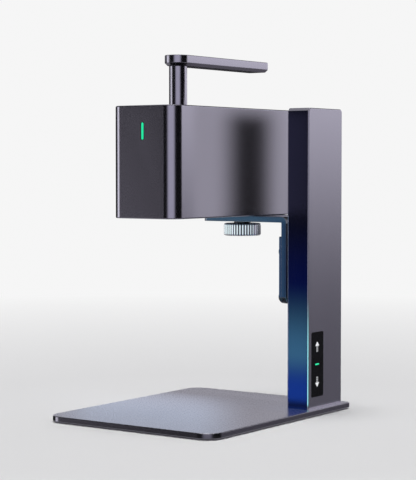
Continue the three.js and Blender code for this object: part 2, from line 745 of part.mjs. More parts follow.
function headTopCover() {
  const blank = headInside(0.15, [HEAD_H - COVER_PLATE_T, HEAD_H - 0.1], 0.3);
  const bushHole = cylinder('z', 11.1, [HEAD_H - 5, HEAD_H + 1], 0, POST_Y, 24);
  const slots = Array.from({ length: 8 }, (_, i) => (
    box([-16, 16], centred(100 + 5.5 * i, 2.2), [HEAD_H - 5, HEAD_H + 1])
  ));
  return cut(blank, bushHole, ...slots);
}

function headBottomCover() {
  const blank = headInside(0.15, [0.1, COVER_PLATE_T], 0.3);
  const lensHole = cylinder('z', 22.1, [-1, 5], 0, LENS_Y, 32);
  const insertHole = cylinder('z', 6.1, [-1, 5], 0, THUMB_Y);
  return cut(blank, lensHole, insertHole);
}

function headLightBar() {
  const gap = 0.1;
  return uprightCapsule(0, grown(STATUS_LIGHT.z, -gap), STATUS_LIGHT.radius - gap, [0.05, 4.5]);
}

function mountInsert() {
  return turned([[THREAD_R + RUN_GAP, 0.15], [6, 0.15], [6, 3], [8, 3], [8, 5], [6, 5], [6, 12],
    [THREAD_R + RUN_GAP, 12]], 0, THUMB_Y, 16);
}

function handleBush() {
  const bore = POST_R + RUN_GAP;
  const flange = HEAD_H - COVER_PLATE_T - FACE_GAP;
  return turned([[bore, 73.5], [10.9, 73.5], [10.9, flange - 2], [14, flange - 2], [14, flange],
    [10.9, flange], [10.9, HEAD_H], [bore, HEAD_H]], 0, POST_Y, 24);
}

// ---------------------------------------------------------------- optics

function lensCell() {
  const bore = LENS_R + 0.2;
  return turned([[bore, 0.3], [21.9, 0.3], [21.9, 3], [25, 3], [25, 5], [21.9, 5], [21.9, 15],
    [bore, 15]], 0, LENS_Y, 28);
}

function scanLens() {
  return turned([[0, 5], [LENS_R, 5], [LENS_R, 7.5], [13, 9.4], [7, 10.7], [0, 11.2]], 0, LENS_Y, 24);
}

function lensWindow() {
  return cylinder('z', LENS_R, [0.8, 2.6], 0, LENS_Y, 24);
}

function galvoMount() {
  const wall = box([-26.5, -22.5], [30, 71], [5.3, 56]);
  const holderY = box([-24, 11], [30, 43], [18, 39]);
  const holderX = box([-24, -3], [50, 71], [44, 56]);
  const boreY = cylinder('y', GALVO_R + 0.15, [28, 46], 0, BEAM_Z);
  const boreX = cylinder('z', GALVO_R + 0.15, [42, 58], LASER_X, LENS_Y);
  const postRoom = cylinder('z', 9.6, [38.6, 60], 0, POST_Y);
  return cut(join(wall, holderY, holderX), boreY, boreX, postRoom);
}

function galvoMotorY() {
  const can = cylinder('y', GALVO_R, [12, 44], 0, BEAM_Z);
  const connector = box([-4, 4], [8, 13], centred(BEAM_Z, 8));
  return join(can, connector);
}

function galvoMotorX() {
  const can = cylinder('z', GALVO_R, [43, 75], LASER_X, LENS_Y);
  const connector = box(centred(LASER_X, 8), centred(LENS_Y, 8), [74, 79]);
  return join(can, connector);
}

// A mirror on its motor shaft, made upright along Z, then turned into place by its caller.
function mirrorOnShaft(shaftLength) {
  const half = 6.5;
  const blade = box([-7, 7], [-0.8, 0.8], [-half, half]);
  const clamp = box([-2, 2], [-1.8, 1.8], [half - 3, half + 2]);
  const shaft = cylinder('z', 1.5, [half + 1, half + shaftLength], 0, 0, 10);
  return join(blade, clamp, shaft);
}

function scanMirrorX() {
  return mirrorOnShaft(8).rotateZ(-Math.PI / 4).translate(LASER_X, LENS_Y, BEAM_Z);
}

function scanMirrorY() {
  return mirrorOnShaft(8).rotateZ(-Math.PI / 4).rotateX(Math.PI / 2).translate(0, LENS_Y, BEAM_Z);
}

function laserModule() {
  const block = box(centred(LASER_X, 28), [84, 124], centred(BEAM_Z + 2, 28));
  const nose = cylinder('y', 6, [72, 86], LASER_X, BEAM_Z);
  const bore = cylinder('y', 3, [70, 82], LASER_X, BEAM_Z, 10);
  const slots = Array.from({ length: 5 }, (_, i) => (
    box([-40, -25.6], centred(90 + 7 * i, 2.5), centred(BEAM_Z + 2, 20))
  ));
  return cut(join(block, nose), bore, ...slots);
}

function laserHeatSink() {
  const floor = BEAM_Z + 16 + FACE_GAP;
  const body = box(centred(LASER_X, 28), [84, 124], [floor, floor + 22]);
  const gaps = Array.from({ length: 6 }, (_, i) => (
    box(centred(LASER_X + (i - 2.5) * 4.4, 2.8), [80, 128], [floor + 3, floor + 30])
  ));
  return cut(body, ...gaps);
}

function mainBoard() {
  const board = box([14, 15.6], [20, 140], [18, 76]);
  const parts = [
    [[15.4, 17], [40, 54], [40, 54]],
    [[15.4, 17.4], [64, 74], [30, 38]],
    [[15.4, 23], [90, 102], [26, 38]],
    [[15.4, 21], [108, 118], [52, 70]],
    [[15.4, 19], [124, 136], [26, 34]],
  ];
  return join(board, ...parts.map(([xs, ys, zs]) => box(xs, ys, zs)));
}

// ---------------------------------------------------------------- cooling fan

function fanFrame() {
  const [front, rear] = FAN_Y;
  const body = box(centred(FAN_X, 40), FAN_Y, centred(FAN_Z, 40));
  const throat = cylinder('y', 18.5, [front - 1, rear + 1], FAN_X, FAN_Z, 24);
  const hub = cylinder('y', 8, [rear - 2, rear], FAN_X, FAN_Z, 16);
  const strutAcross = box(centred(FAN_X, 39), [rear - 1.8, rear - 0.2], centred(FAN_Z, 2.4));
  const strutUp = box(centred(FAN_X, 2.4), [rear - 1.8, rear - 0.2], centred(FAN_Z, 39));
  return join(cut(body, throat), hub, strutAcross, strutUp);
}

function fanRotor() {
  const [front, rear] = FAN_Y;
  const hub = cylinder('y', 8, [front + 0.5, rear - 2.4], 0, 0, 16);
  const blades = Array.from({ length: 7 }, (_, i) => (
    box([-0.7, 0.7], centred((front + rear) / 2 - 1, 6), [7, 17.8])
      .translate(0, -(front + rear) / 2, 0)
      .rotateZ(0.5)
      .translate(0, (front + rear) / 2, 0)
      .rotateY((i * 2 * Math.PI) / 7)
  ));
  return join(hub, ...blades).translate(FAN_X, 0, FAN_Z);
}

function addHead(parent) {
  piece(parent, 'head_shell', headShell(), anodised);
  piece(parent, 'head_top_cover', headTopCover(), anodised);
  piece(parent, 'head_bottom_cover', headBottomCover(), anodised);
  piece(parent, 'head_light_bar', headLightBar(), greenLight);
  piece(parent, 'mount_insert', mountInsert(), steel);
  piece(parent, 'handle_bush', handleBush(), blackPlastic);
  piece(parent, 'lens_cell', lensCell(), blackSteel);
  piece(parent, 'scan_lens', scanLens(), opticalGlass);
  piece(parent, 'lens_window', lensWindow(), opticalGlass);
  piece(parent, 'galvo_mount', galvoMount(), castAlloy);
  piece(parent, 'galvo_motor_x', galvoMotorX(), blackSteel);
  piece(parent, 'galvo_motor_y', galvoMotorY(), blackSteel);
  piece(parent, 'laser_module', laserModule(), bronze);
  piece(parent, 'laser_heat_sink', laserHeatSink(), castAlloy);
  piece(parent, 'main_board', mainBoard(), circuitBoard);
  piece(parent, 'fan_frame', fanFrame(), blackPlastic);
  const socket = usbSocket(HEAD_SOCKET.x, HEAD_SOCKET.z, [HEAD_L - 9, HEAD_L - 0.2]);
  piece(parent, 'head_usb_socket', socket, steel);
  piece(parent, 'scan_mirror_x', scanMirrorX(), mirrorCoat);
  piece(parent, 'scan_mirror_y', scanMirrorY(), mirrorCoat);
  piece(parent, 'fan_rotor', fanRotor(), blackPlastic);
}

// ---------------------------------------------------------------- handle

function handlePost() {
  const stem = cylinder('z', POST_R, [70.5, BAR_BOTTOM - 0.1], 0, POST_Y, 24);
  const stop = cylinder('z', 9, [70, 72.5], 0, POST_Y, 24);
  const journal = cylinder('z', 4, [BAR_BOTTOM - 1, BAR_BOTTOM + BAR_SEAT - 0.2], 0, POST_Y);
  const thread = cylinder('z', 1.6, [BAR_BOTTOM - 5, BAR_BOTTOM + 8], 0, POST_Y, 10);
  return cut(join(stem, stop, journal), thread);
}

// A flat bar with upright sides, bevelled in underneath, and a bore for the post's journal.
function handleBar() {
  const radii = [BAR_FRONT_R, BAR_FRONT_R, BAR_REAR_R, BAR_REAR_R];
  const outline = (inset) => ring(
    [-BAR_HALF_W + inset, BAR_HALF_W - inset], [POST_Y + BAR_FRONT + inset, POST_Y + BAR_REAR - inset],
    radii.map((radius) => Math.max(radius - inset, 0.4)), 5,
  );
  const bar = loft([
    [BAR_BOTTOM, outline(BAR_BEVEL)], [BAR_BOTTOM + BAR_BEVEL, outline(0)],
    [BAR_TOP - BAR_TOP_EDGE, outline(0)], [BAR_TOP, outline(BAR_TOP_EDGE)],
  ]);
  const bore = cylinder('z', 4.1, [BAR_BOTTOM - 1, BAR_BOTTOM + 8], 0, POST_Y);
  const recess = cylinder('z', 4.9, [BAR_BOTTOM + BAR_SEAT, BAR_TOP + 1], 0, POST_Y);
  return cut(bar, bore, recess);
}

function pivotScrew() {
  const head = cylinder('z', 4.6, [BAR_BOTTOM + BAR_SEAT + 0.1, BAR_TOP - 0.2], 0, POST_Y);
  const shank = cylinder('z', 1.5, [BAR_BOTTOM - 4, BAR_BOTTOM + 8], 0, POST_Y, 10);
  const socket = cylinder('z', 1.8, [BAR_TOP - 1.6, BAR_TOP + 1], 0, POST_Y, 6);
  return cut(join(head, shank), socket);
}

function addHandle(parent) {
  piece(parent, 'handle_post', handlePost(), anodised);
  piece(parent, 'handle_bar', handleBar(), anodised);
  piece(parent, 'handle_pivot_screw', pivotScrew(), blackSteel);
}

// ---------------------------------------------------------------- thumb screw

function thumbKnob() {
  const outline = Array.from({ length: 2 * KNOB_FLUTES }, (_, i) => {
    const angle = (i * Math.PI) / KNOB_FLUTES;
    const radius = i % 2 ? KNOB_R - FLUTE_DEPTH : KNOB_R;
    return new THREE.Vector2(radius * Math.cos(angle), radius * Math.sin(angle));
  });
  const [low, high] = KNOB_Z;
  const settings = { depth: high - low, bevelEnabled: false };
  const fluted = new THREE.ExtrudeGeometry(new THREE.Shape(outline), settings).translate(0, 0, low);
  const rounded = turned([
    [0, low], [KNOB_R - KNOB_EDGE, low], [KNOB_R + 0.1, low + KNOB_EDGE],
    [KNOB_R + 0.1, high - KNOB_EDGE], [KNOB_R - KNOB_EDGE, high], [0, high],
  ], 0, 0, 36);
  const thread = cylinder('z', THREAD_R, [high - 2, THREAD_TOP], 0, 0);
  return join(common(fluted, rounded), thread);
}

function thumbCollar() {
  const bore = THREAD_R + 0.2;
  const low = KNOB_Z[1] + FACE_GAP;
  const high = BRACKET_TOP - BRACKET_T - FACE_GAP;
  return turned([[bore, low], [THUMB_COLLAR_R, low], [THUMB_COLLAR_R, high], [bore, high]], 0, 0, 20);
}

function addThumbScrew(parent) {
  piece(parent, 'thumb_knob', thumbKnob(), steel);
  piece(parent, 'thumb_collar', thumbCollar(), blackSteel);
}

// ---------------------------------------------------------------- assembly

addBase(group(machine));
const column = group(machine, COLUMN_X, COLUMN_Y, BASE_TOP);
addColumn(column);
addKeys(column);
addScrew(column);
addCarriage(column);
addBracket(group(machine));
const head = group(machine, HEAD_X, HEAD_Y, BRACKET_TOP);
addHead(head);
addHandle(head);
addThumbScrew(group(machine, HEAD_X, HEAD_Y + THUMB_Y, 0));

export default machine;
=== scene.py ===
# Desktop laser engraver: the looks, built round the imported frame. Metres, +Z up.
# -Y is the front, where the head's status light is, and +X is the side with the lifting column.

import json
import math

import bpy
from mathutils import Euler, Matrix, Vector


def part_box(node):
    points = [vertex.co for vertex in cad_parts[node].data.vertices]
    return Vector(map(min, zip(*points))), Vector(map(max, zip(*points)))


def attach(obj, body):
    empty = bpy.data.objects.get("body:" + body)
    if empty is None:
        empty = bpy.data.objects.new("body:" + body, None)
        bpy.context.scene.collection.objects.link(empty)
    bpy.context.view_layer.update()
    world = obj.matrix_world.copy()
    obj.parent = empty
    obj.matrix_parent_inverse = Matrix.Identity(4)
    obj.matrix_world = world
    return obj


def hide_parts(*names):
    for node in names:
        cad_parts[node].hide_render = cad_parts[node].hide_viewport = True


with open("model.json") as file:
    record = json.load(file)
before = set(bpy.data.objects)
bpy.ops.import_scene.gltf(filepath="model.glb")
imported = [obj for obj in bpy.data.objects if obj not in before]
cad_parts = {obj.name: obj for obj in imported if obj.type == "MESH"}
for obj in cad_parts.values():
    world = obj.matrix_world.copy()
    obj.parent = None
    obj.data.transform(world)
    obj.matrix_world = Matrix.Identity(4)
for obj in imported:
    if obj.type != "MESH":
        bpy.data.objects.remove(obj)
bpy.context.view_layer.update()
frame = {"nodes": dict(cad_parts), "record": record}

MM = 0.001
HAIR = 0.02 * MM
# A shade less than one, so that the two arcs of a round end keep a sliver of flat between them.
ROUND_END = 0.999

# ---- dimensions that the boxes don't give

PLATE_CORNERS = (13 * MM, 13 * MM, 4 * MM, 13 * MM)
PAD_CORNERS = (10 * MM, 10 * MM, 3 * MM, 10 * MM)
PLATE_CHAMFER = 0.4 * MM
# Faces whose normal is less upright than this get the plate's darker side material: painted shade.
RIM_NORMAL = 0.4
PLATE_SCREW_BORE = 2.8 * MM
PLATE_SCREW_RECESS = (4.8 * MM, 3.6 * MM)
WALL = 2.2 * MM

COLUMN_EDGE = 0.9 * MM
COLUMN_TOP_CHAMFER = 2.2 * MM
COLUMN_FACE_T = 0.4 * MM
COLUMN_REAR_R = 2.5 * MM
COLUMN_ROOF = 2.5 * MM
SLOT_HALF_W = 8.2 * MM
SLOT_Z = (20.2 * MM, 138.2 * MM)
SOCKET_HOLE = (3.6 * MM, 9.4 * MM)

PANEL_CORNER = 1.5 * MM
PANEL_RIM = 1.4 * MM
KEY_RIM = 0.7 * MM
KEY_GAP = 0.12 * MM
ARROW_HEAD = (5.9 * MM, 3.6 * MM)
ARROW_SHAFT_W = 2.6 * MM
ARROW_DASH = 1.2 * MM
ARROW_PITCH = 1.55 * MM
INK = 0.05 * MM
PANEL_LIGHT = (5.8 * MM, 1.2 * MM)
LIGHT_NOSE = 0.8 * MM
HEAD_LIGHT_W = 2.1 * MM

HEAD_LEFT_CORNER = 8.7 * MM
HEAD_RIGHT_CORNER = 10.4 * MM
HEAD_REAR_CORNER = 3 * MM
HEAD_EDGE = MM
BORES = {"handle_bush": 11.1 * MM, "lens_cell": 22.1 * MM, "mount_insert": 6.1 * MM, "thumb_knob": 3.6 * MM}
VENT_COUNT = 7
VENT_PITCH = 5 * MM
VENT_SIZE = (2.4 * MM, 34 * MM)
TOP_SLOT_COUNT = 8
TOP_SLOT_START = 100 * MM
TOP_SLOT_PITCH = 5.5 * MM
TOP_SLOT_SIZE = (32 * MM, 2.2 * MM)

BRACKET_T = 4.75 * MM
BRACKET_BEND = 5 * MM
BRACKET_INNER_BEND = 0.6 * MM
BRACKET_TIP = 4 * MM
BRACKET_FOOT = 6 * MM
BRACKET_EDGE = 0.35 * MM

BAR_BEVEL = 2.2 * MM
BAR_SEAT = 5.4 * MM
BAR_FRONT_R = 9.9 * MM
BAR_REAR_R = 2 * MM
BAR_EDGE = 0.6 * MM
BAR_BORE = 4.1 * MM
BAR_RECESS = 4.9 * MM

KNOB_FLUTES = 40
FLUTE_DEPTH = 0.75 * MM
KNOB_EDGE = 1.5 * MM
# Pointiness range over which the painted shade in the knob's flute valleys fades out.
VALLEY_POINTINESS = (0.46, 0.53)
EDGE_POINTINESS = (0.52, 0.6)
# How much lighter convex edges get: a painted highlight, with a little wear.
EDGE_WEAR_AND_HIGHLIGHT = 1.25
CLOUD_GRAIN = 24
THREAD_PITCH = 1.27 * MM
LEAD_PITCH = 2 * MM
LEAD_STARTS = 2


# ---- mesh helpers

def piece(name, points, faces, material):
    mesh = bpy.data.meshes.new(name)
    mesh.from_pydata([tuple(p) for p in points], [], faces)
    mesh.materials.append(material)
    made = bpy.data.objects.new(name, mesh)
    bpy.context.scene.collection.objects.link(made)
    return made


def smoothed(made, angle=32):
    """Smooth shading that keeps flat faces flat and real edges sharp."""
    mesh = made.data
    mesh.polygons.foreach_set("use_smooth", [True] * len(mesh.polygons))
    mesh.set_sharp_from_angle(angle=math.radians(angle))
    weighted = made.modifiers.new("flat_faces", "WEIGHTED_NORMAL")
    weighted.keep_sharp = True
    weighted.weight = 90
    return made


def fit(made, body, slot, *replaced):
    """Finishes a piece: its shading, the body it rides on and the CAD nodes it stands for. The slot is not
    used.
    """
    smoothed(made)
    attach(made, body)
    if replaced:
        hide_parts(*replaced)
    return made


def applied(made):
    """Makes the result of the modifiers the piece's own mesh."""
    graph = bpy.context.evaluated_depsgraph_get()
    mesh = bpy.data.meshes.new_from_object(made.evaluated_get(graph))
    made.modifiers.clear()
    made.data = mesh
    return made


def combine(made, tools, operation):
    for tool in tools:
        step = made.modifiers.new("shape", "BOOLEAN")
        step.operation = operation
        step.solver = "EXACT"
        step.object = tool
    bpy.context.view_layer.update()
    applied(made)
    for tool in tools:
        bpy.data.objects.remove(tool)
    return made


def cut(made, *tools):
    return combine(made, tools, "DIFFERENCE")


def join(made, *tools):
    return combine(made, tools, "UNION")


def middle(pair):
    return (pair[0] + pair[1]) / 2


def centred(centre, size):
    return (centre - size / 2, centre + size / 2)


def grown(pair, by):
    return (pair[0] - by, pair[1] + by)


def in_mm(points):
    return [(x * MM, y * MM) for x, y in points]


def spans(node):
    """The X, Y and Z ranges of a CAD node."""
    low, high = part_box(node)
    return [(low[i], high[i]) for i in range(3)]


def plan_centre(node):
    """The middle of a CAD node in X and Y."""
    xs, ys, _ = spans(node)
    return (middle(xs), middle(ys))


def ring(xs, ys, radii, steps):
    """A corner-rounded rectangle; radii go front left, front right, back right, back left."""
    a, b, c, d = radii
    corners = (
        (xs[0] + a, ys[0] + a, a, math.pi),
        (xs[1] - b, ys[0] + b, b, 1.5 * math.pi),
        (xs[1] - c, ys[1] - c, c, 0.0),
        (xs[0] + d, ys[1] - d, d, 0.5 * math.pi),
    )
    points = []
    for x, y, radius, start in corners:
        for i in range(steps + 1):
            angle = start + math.pi / 2 * i / steps
            points.append((x + radius * math.cos(angle), y + radius * math.sin(angle)))
    return points


def loft_faces(layers, count):
    """Side quads and two end caps through layers of count points each."""
    faces = []
    for layer in range(layers - 1):
        for i in range(count):
            a = layer * count + i
            b = layer * count + (i + 1) % count
            faces.append((a, b, b + count, a + count))
    faces.append(tuple(reversed(range(count))))
    faces.append(tuple(range((layers - 1) * count, layers * count)))
    return faces


def quarter(edge, steps):
    """Inset and rise along a quarter-round edge, from the flat face to the side."""
    return [
        (edge * (1 - math.sin(math.pi / 2 * i / steps)), edge * (1 - math.cos(math.pi / 2 * i / steps)))
        for i in range(steps + 1)
    ]


def bevelled(edge, rounding):
    """Inset and rise along a flat chamfer whose two lines are slightly rounded."""
    return [
        (edge + rounding, 0.0),
        (edge - rounding * 0.3, rounding * 0.3),
        (rounding * 0.3, edge - rounding * 0.3),
        (0.0, edge + rounding),
    ]


def rims(pair, low, high):
    """Heights and insets from the lower to the upper end of pair, along the profiles of its two edges."""
    levels = [(pair[0] + rise, inset) for inset, rise in low]
    return levels + [(pair[1] - rise, inset) for inset, rise in reversed(high)]


def slab(name, xs, ys, zs, radii, material=None, edges=None, steps=10, low_edges=None):
    """A flat plate with rounded corners. edges are the inset and rise pairs of its upper and lower rims."""
    top = edges or [(0.0, 0.0)]
    levels = rims(zs, low_edges or top, top)
    points = []
    for z, inset in levels:
        inner = [max(radius - inset, HAIR) for radius in radii]
        points += [(x, y, z) for x, y in ring(grown(xs, -inset), grown(ys, -inset), inner, steps)]
    return piece(name, points, loft_faces(len(levels), 4 * (steps + 1)), material)


def stand_up(made):
    """Turns a plate made flat so that its X becomes Y, its Y becomes Z and its Z becomes X."""
    made.data.transform(Matrix(((0, 0, 1, 0), (1, 0, 0, 0), (0, 1, 0, 0), (0, 0, 0, 1))))
    return made


def upright(name, ys, zs, xs, radii, material=None, edges=None, steps=8):
    return stand_up(slab(name, ys, zs, xs, radii, material, edges, steps))


def face_front(made):
    """Turns a plate made flat so that its top faces the rear and its front edge is up."""
    made.data.transform(Matrix(((1, 0, 0, 0), (0, 0, 1, 0), (0, -1, 0, 0), (0, 0, 0, 1))))
    return made


def block(name, xs, ys, zs):
    corners = ((xs[0], ys[0]), (xs[1], ys[0]), (xs[1], ys[1]), (xs[0], ys[1]))
    points = [(x, y, z) for z in zs for x, y in corners]
    return piece(name, points, loft_faces(2, 4), None)


def socket_tool(socket, ys):
    """A tool for the hole in a rear wall in front of a socket."""
    xs, _, zs = spans(socket)
    return block("tool", centred(middle(xs), SOCKET_HOLE[0]), ys, centred(middle(zs), SOCKET_HOLE[1]))


def turned(name, profile, centre, material=None, segments=64, axis="z"):
    """A solid of revolution round z or -x. The profile's (radius, height) points run anticlockwise."""
    hollow = all(radius > 0 for radius, _ in profile)
    points = []
    rows = []
    for radius, height in profile:
        if radius == 0:
            rows.append([len(points)] * segments)
            points.append((0, 0, height))
            continue
        rows.append(list(range(len(points), len(points) + segments)))
        for i in range(segments):
            angle = 2 * math.pi * i / segments
            points.append((radius * math.cos(angle), radius * math.sin(angle), height))
    pairs = list(zip(rows, rows[1:]))
    if hollow:
        pairs.append((rows[-1], rows[0]))
    faces = []
    for lower, upper in pairs:
        for i in range(segments):
            k = (i + 1) % segments
            unique = list(dict.fromkeys((lower[i], lower[k], upper[k], upper[i])))
            if len(unique) > 2:
                faces.append(unique)
    made = piece(name, points, faces, material)
    turn = Euler((0, -math.pi / 2 if axis == "-x" else 0, 0)).to_matrix().to_4x4()
    made.data.transform(Matrix.Translation(centre) @ turn)
    return made


def rod(name, radius, zs, x, y, material=None, segments=48, edge=0.0):
    """An upright round bar with chamfered ends."""
    profile = [(0, zs[0]), (radius - edge, zs[0])]
    if edge:
        profile += [(radius, zs[0] + edge), (radius, zs[1] - edge)]
    profile += [(radius - edge, zs[1]), (0, zs[1])]
    return turned(name, profile, (x, y, 0), material, segments)


def bore_tool(node, zs, segments=48):
    """A tool for the round hole that a CAD node stands in, through the range zs."""
    return rod("tool", BORES[node], grown(zs, MM), *plan_centre(node), None, segments)


def hexagon(across, zs, x, y):
    return rod("tool", across / math.sqrt(3), zs, x, y, None, 6)


# ---- material helpers

def wire(tree, made, inputs):
    """Gives a node's inputs constants or other nodes' outputs. A constant colour comes without its alpha."""
    for key, value in inputs.items():
        socket = made.inputs[key]
        if isinstance(value, bpy.types.NodeSocket):
            tree.links.new(value, socket)
        elif socket.type == "RGBA":
            socket.default_value = (*value, 1)
        else:
            socket.default_value = value


def node(tree, kind, inputs=None, **settings):
    made = tree.nodes.new("ShaderNode" + kind)
    for key, value in settings.items():
        setattr(made, key, value)
    wire(tree, made, inputs or {})
    return made


def sheet_of(name, color, roughness, metallic=0.0):
    """A new material, with its node tree and its shader."""
    material = bpy.data.materials.new(name)
    material.use_nodes = True
    tree = material.node_tree
    shader = tree.nodes["Principled BSDF"]
    wire(tree, shader, {"Base Color": color, "Roughness": roughness, "Metallic": metallic})
    return material, tree, shader


def noise(tree, scale, detail=2.0, stretch=(1, 1, 1)):
    """Noise in the object's own coordinates; scale is in grains per metre."""
    where = node(tree, "TexCoord").outputs["Object"]
    place = node(tree, "Mapping", {"Vector": where, "Scale": stretch}).outputs["Vector"]
    texture = node(tree, "TexNoise", {"Vector": place, "Scale": scale, "Detail": detail})
    return texture.outputs["Fac"]


def spread(tree, source, low, high, source_range=(0.3, 0.7)):
    """The source's usual range turned into a range of values."""
    start, end = source_range
    inputs = {"Value": source, "From Min": start, "From Max": end, "To Min": low, "To Max": high}
    return node(tree, "MapRange", inputs).outputs["Result"]


def blended(tree, factor, first, second):
    """A colour between first and second; either may be a colour or another node's output."""
    return node(tree, "Mix", {0: factor, 6: first, 7: second}, data_type="RGBA").outputs[2]


def bumped(tree, shader, height, strength, distance):
    bump = node(tree, "Bump", {"Strength": strength, "Distance": distance, "Height": height})
    wire(tree, shader, {"Normal": bump.outputs["Normal"]})


def times(color, factor):
    return tuple(value * factor for value in color)


def pointiness(tree, edges):
    """0 to 1 as the surface goes from hollow or flat to sharp."""
    return spread(tree, node(tree, "NewGeometry").outputs["Pointiness"], 0, 1, edges)


def grained(name, color, roughness, metallic, grain, depth, contrast=0.12, rough_by=0.06):
    """A blasted or moulded surface: fine grain, slow cloudiness, and edges that are a little lighter, a
    painted highlight with a little wear.
    """
    material, tree, shader = sheet_of(name, color, roughness, metallic)
    fine = noise(tree, grain, 3.0)
    cloud = noise(tree, CLOUD_GRAIN)
    tone = blended(tree, fine, times(color, 1 - contrast), times(color, 1 + contrast))
    slow = blended(tree, spread(tree, cloud, 0, 1), tone, times(color, 1.04))
    mellow = blended(tree, 0.3, tone, slow)
    # Painted highlight with a little wear: convex edges lightened in the base colour.
    rim = pointiness(tree, EDGE_POINTINESS)
    wire(tree, shader, {
        "Base Color": blended(tree, rim, mellow, times(color, EDGE_WEAR_AND_HIGHLIGHT)),
        "Roughness": spread(tree, fine, roughness - rough_by, roughness + rough_by),
    })
    bumped(tree, shader, fine, 0.35, depth)
    return material


def satin(name, color, roughness, depth=0.002 * MM, contrast=0.06):
    """Finely blasted and anodised metal."""
    return grained(name, color, roughness, 1.0, 2600, depth, contrast, 0.03)


def machined(name, color, roughness, stretch, grain=900):
    """Turned or ground metal: fine lines round the axis or along the stroke."""
    material, tree, shader = sheet_of(name, color, roughness, 1.0)
    lines = noise(tree, grain, 2.0, stretch)
    wire(tree, shader, {
        "Base Color": blended(tree, lines, times(color, 0.86), times(color, 1.08)),
        "Roughness": spread(tree, lines, roughness - 0.06, roughness + 0.08),
    })
    bumped(tree, shader, lines, 0.2, 0.01 * MM)
    return material


def fluted(name, color, roughness):
    """Polished metal with painted shade in its valleys, which go nearly black."""
    material, tree, shader = sheet_of(name, color, roughness, 1.0)
    smears = noise(tree, 300)
    wire(tree, shader, {
        # Painted shade: hollows go nearly black.
        "Base Color": blended(tree, pointiness(tree, VALLEY_POINTINESS), times(color, 0.03), color),
        "Roughness": spread(tree, smears, roughness - 0.03, roughness + 0.05),
    })
    return material


def gloss(name, color, roughness):
    """Glossy plastic with very faint smears."""
    material, tree, shader = sheet_of(name, color, roughness)
    smears = noise(tree, 60, 3.0, (1, 1, 3))
    wire(tree, shader, {
        "Specular IOR Level": 0.12,
        "Base Color": blended(tree, smears, times(color, 0.8), times(color, 1.3)),
        "Roughness": spread(tree, smears, roughness - 0.03, roughness + 0.05),
    })
    return material


def light_guide(name, color, strength):
    """A lit plastic bar, or a printed sign with a painted glow; slightly milky."""
    material, tree, shader = sheet_of(name, color, 0.35)
    milky = noise(tree, 700)
    wire(tree, shader, {
        "Base Color": blended(tree, milky, times(color, 0.2), times(color, 0.3)),
        "Emission Color": blended(tree, milky, times(color, 0.9), times(color, 1.05)),
        "Emission Strength": strength,
    })
    return material


def circuit(name):
    """Solder mask over copper tracks."""
    material, tree, shader = sheet_of(name, (0.01, 0.09, 0.04), 0.35)
    where = node(tree, "TexCoord").outputs["Object"]
    turn = node(tree, "Mapping", {"Vector": where, "Rotation": (0, math.pi / 2, 0)})
    tracks = node(tree, "TexBrick", {
        "Vector": turn.outputs["Vector"], "Scale": 330, "Mortar Size": 0.06,
        "Color1": (0.008, 0.075, 0.033), "Color2": (0.012, 0.1, 0.045), "Mortar": (0.03, 0.17, 0.07),
    })
    wire(tree, shader, {"Base Color": tracks.outputs["Color"]})
    bumped(tree, shader, tracks.outputs["Fac"], 0.3, 0.03 * MM)
    return material


def clear(name, tint, roughness):
    """Coated optical glass."""
    material, tree, shader = sheet_of(name, tint, roughness)
    wire(tree, shader, {
        "Transmission Weight": 1.0, "IOR": 1.5, "Coat Weight": 0.6, "Coat Tint": (0.55, 0.4, 1.0),
        "Roughness": spread(tree, noise(tree, 400), roughness, roughness + 0.03),
    })
    return material


ANODISED = (0.30, 0.29, 0.335)
PLATE = (0.40, 0.39, 0.43)

anodised = satin("anodised_dark", ANODISED, 0.21)
anodised_plate = grained("anodised_plate", PLATE, 0.28, 1.0, 1000, 0.006 * MM, 0.45)
# A darker copy of the plate's finish for its sides: painted shade.
plate_sides_shaded = satin("plate_sides_shaded", (0.21, 0.203, 0.235), 0.2)
# The column's front: a dark navy copy of the anodised finish, painted shade with a painted blue cast.
column_front_shade = satin("column_front_shade", (0.05, 0.052, 0.085), 0.22, contrast=0.1)
bracket_metal = satin("bracket_dark", (0.17, 0.19, 0.225), 0.22, 0.003 * MM)
steel = machined("steel", (0.66, 0.67, 0.70), 0.12, (1, 1, 40))
knurled = fluted("knurled", (0.9, 0.92, 0.93), 0.1)
black_steel = grained("black_steel", (0.05, 0.05, 0.055), 0.32, 0.9, 2000, 0.01 * MM)
lens_barrel = grained("lens_barrel", (0.03, 0.03, 0.034), 0.38, 0.8, 2600, 0.008 * MM)
bronze = machined("bronze", (0.62, 0.40, 0.18), 0.28, (1, 1, 30))
cast_alloy = grained("cast_alloy", (0.5, 0.5, 0.52), 0.42, 1.0, 700, 0.03 * MM)
black_plastic = grained("black_plastic", (0.016, 0.016, 0.018), 0.5, 0.0, 1200, 0.03 * MM)
rubber = grained("rubber", (0.012, 0.012, 0.013), 0.8, 0.0, 900, 0.06 * MM)
gloss_panel = gloss("gloss_panel", (0.004, 0.004, 0.005), 0.1)
green_light = light_guide("green_light", (0.008, 0.80, 0.36), 0.9)
# Printed arrows on the keys, given a painted glow: they shine though they are no lamp.
white_ink_painted_glow = light_guide("white_ink_painted_glow", (0.85, 0.86, 0.88), 0.85)
grey_ink_painted_glow = light_guide("grey_ink_painted_glow", (0.5, 0.51, 0.53), 0.6)
circuit_board = circuit("circuit_board")
optical_glass = clear("optical_glass", (0.93, 0.96, 1.0), 0.0)
mirror_coat = machined("mirror_coat", (0.86, 0.87, 0.9), 0.06, (1, 1, 1), 120)

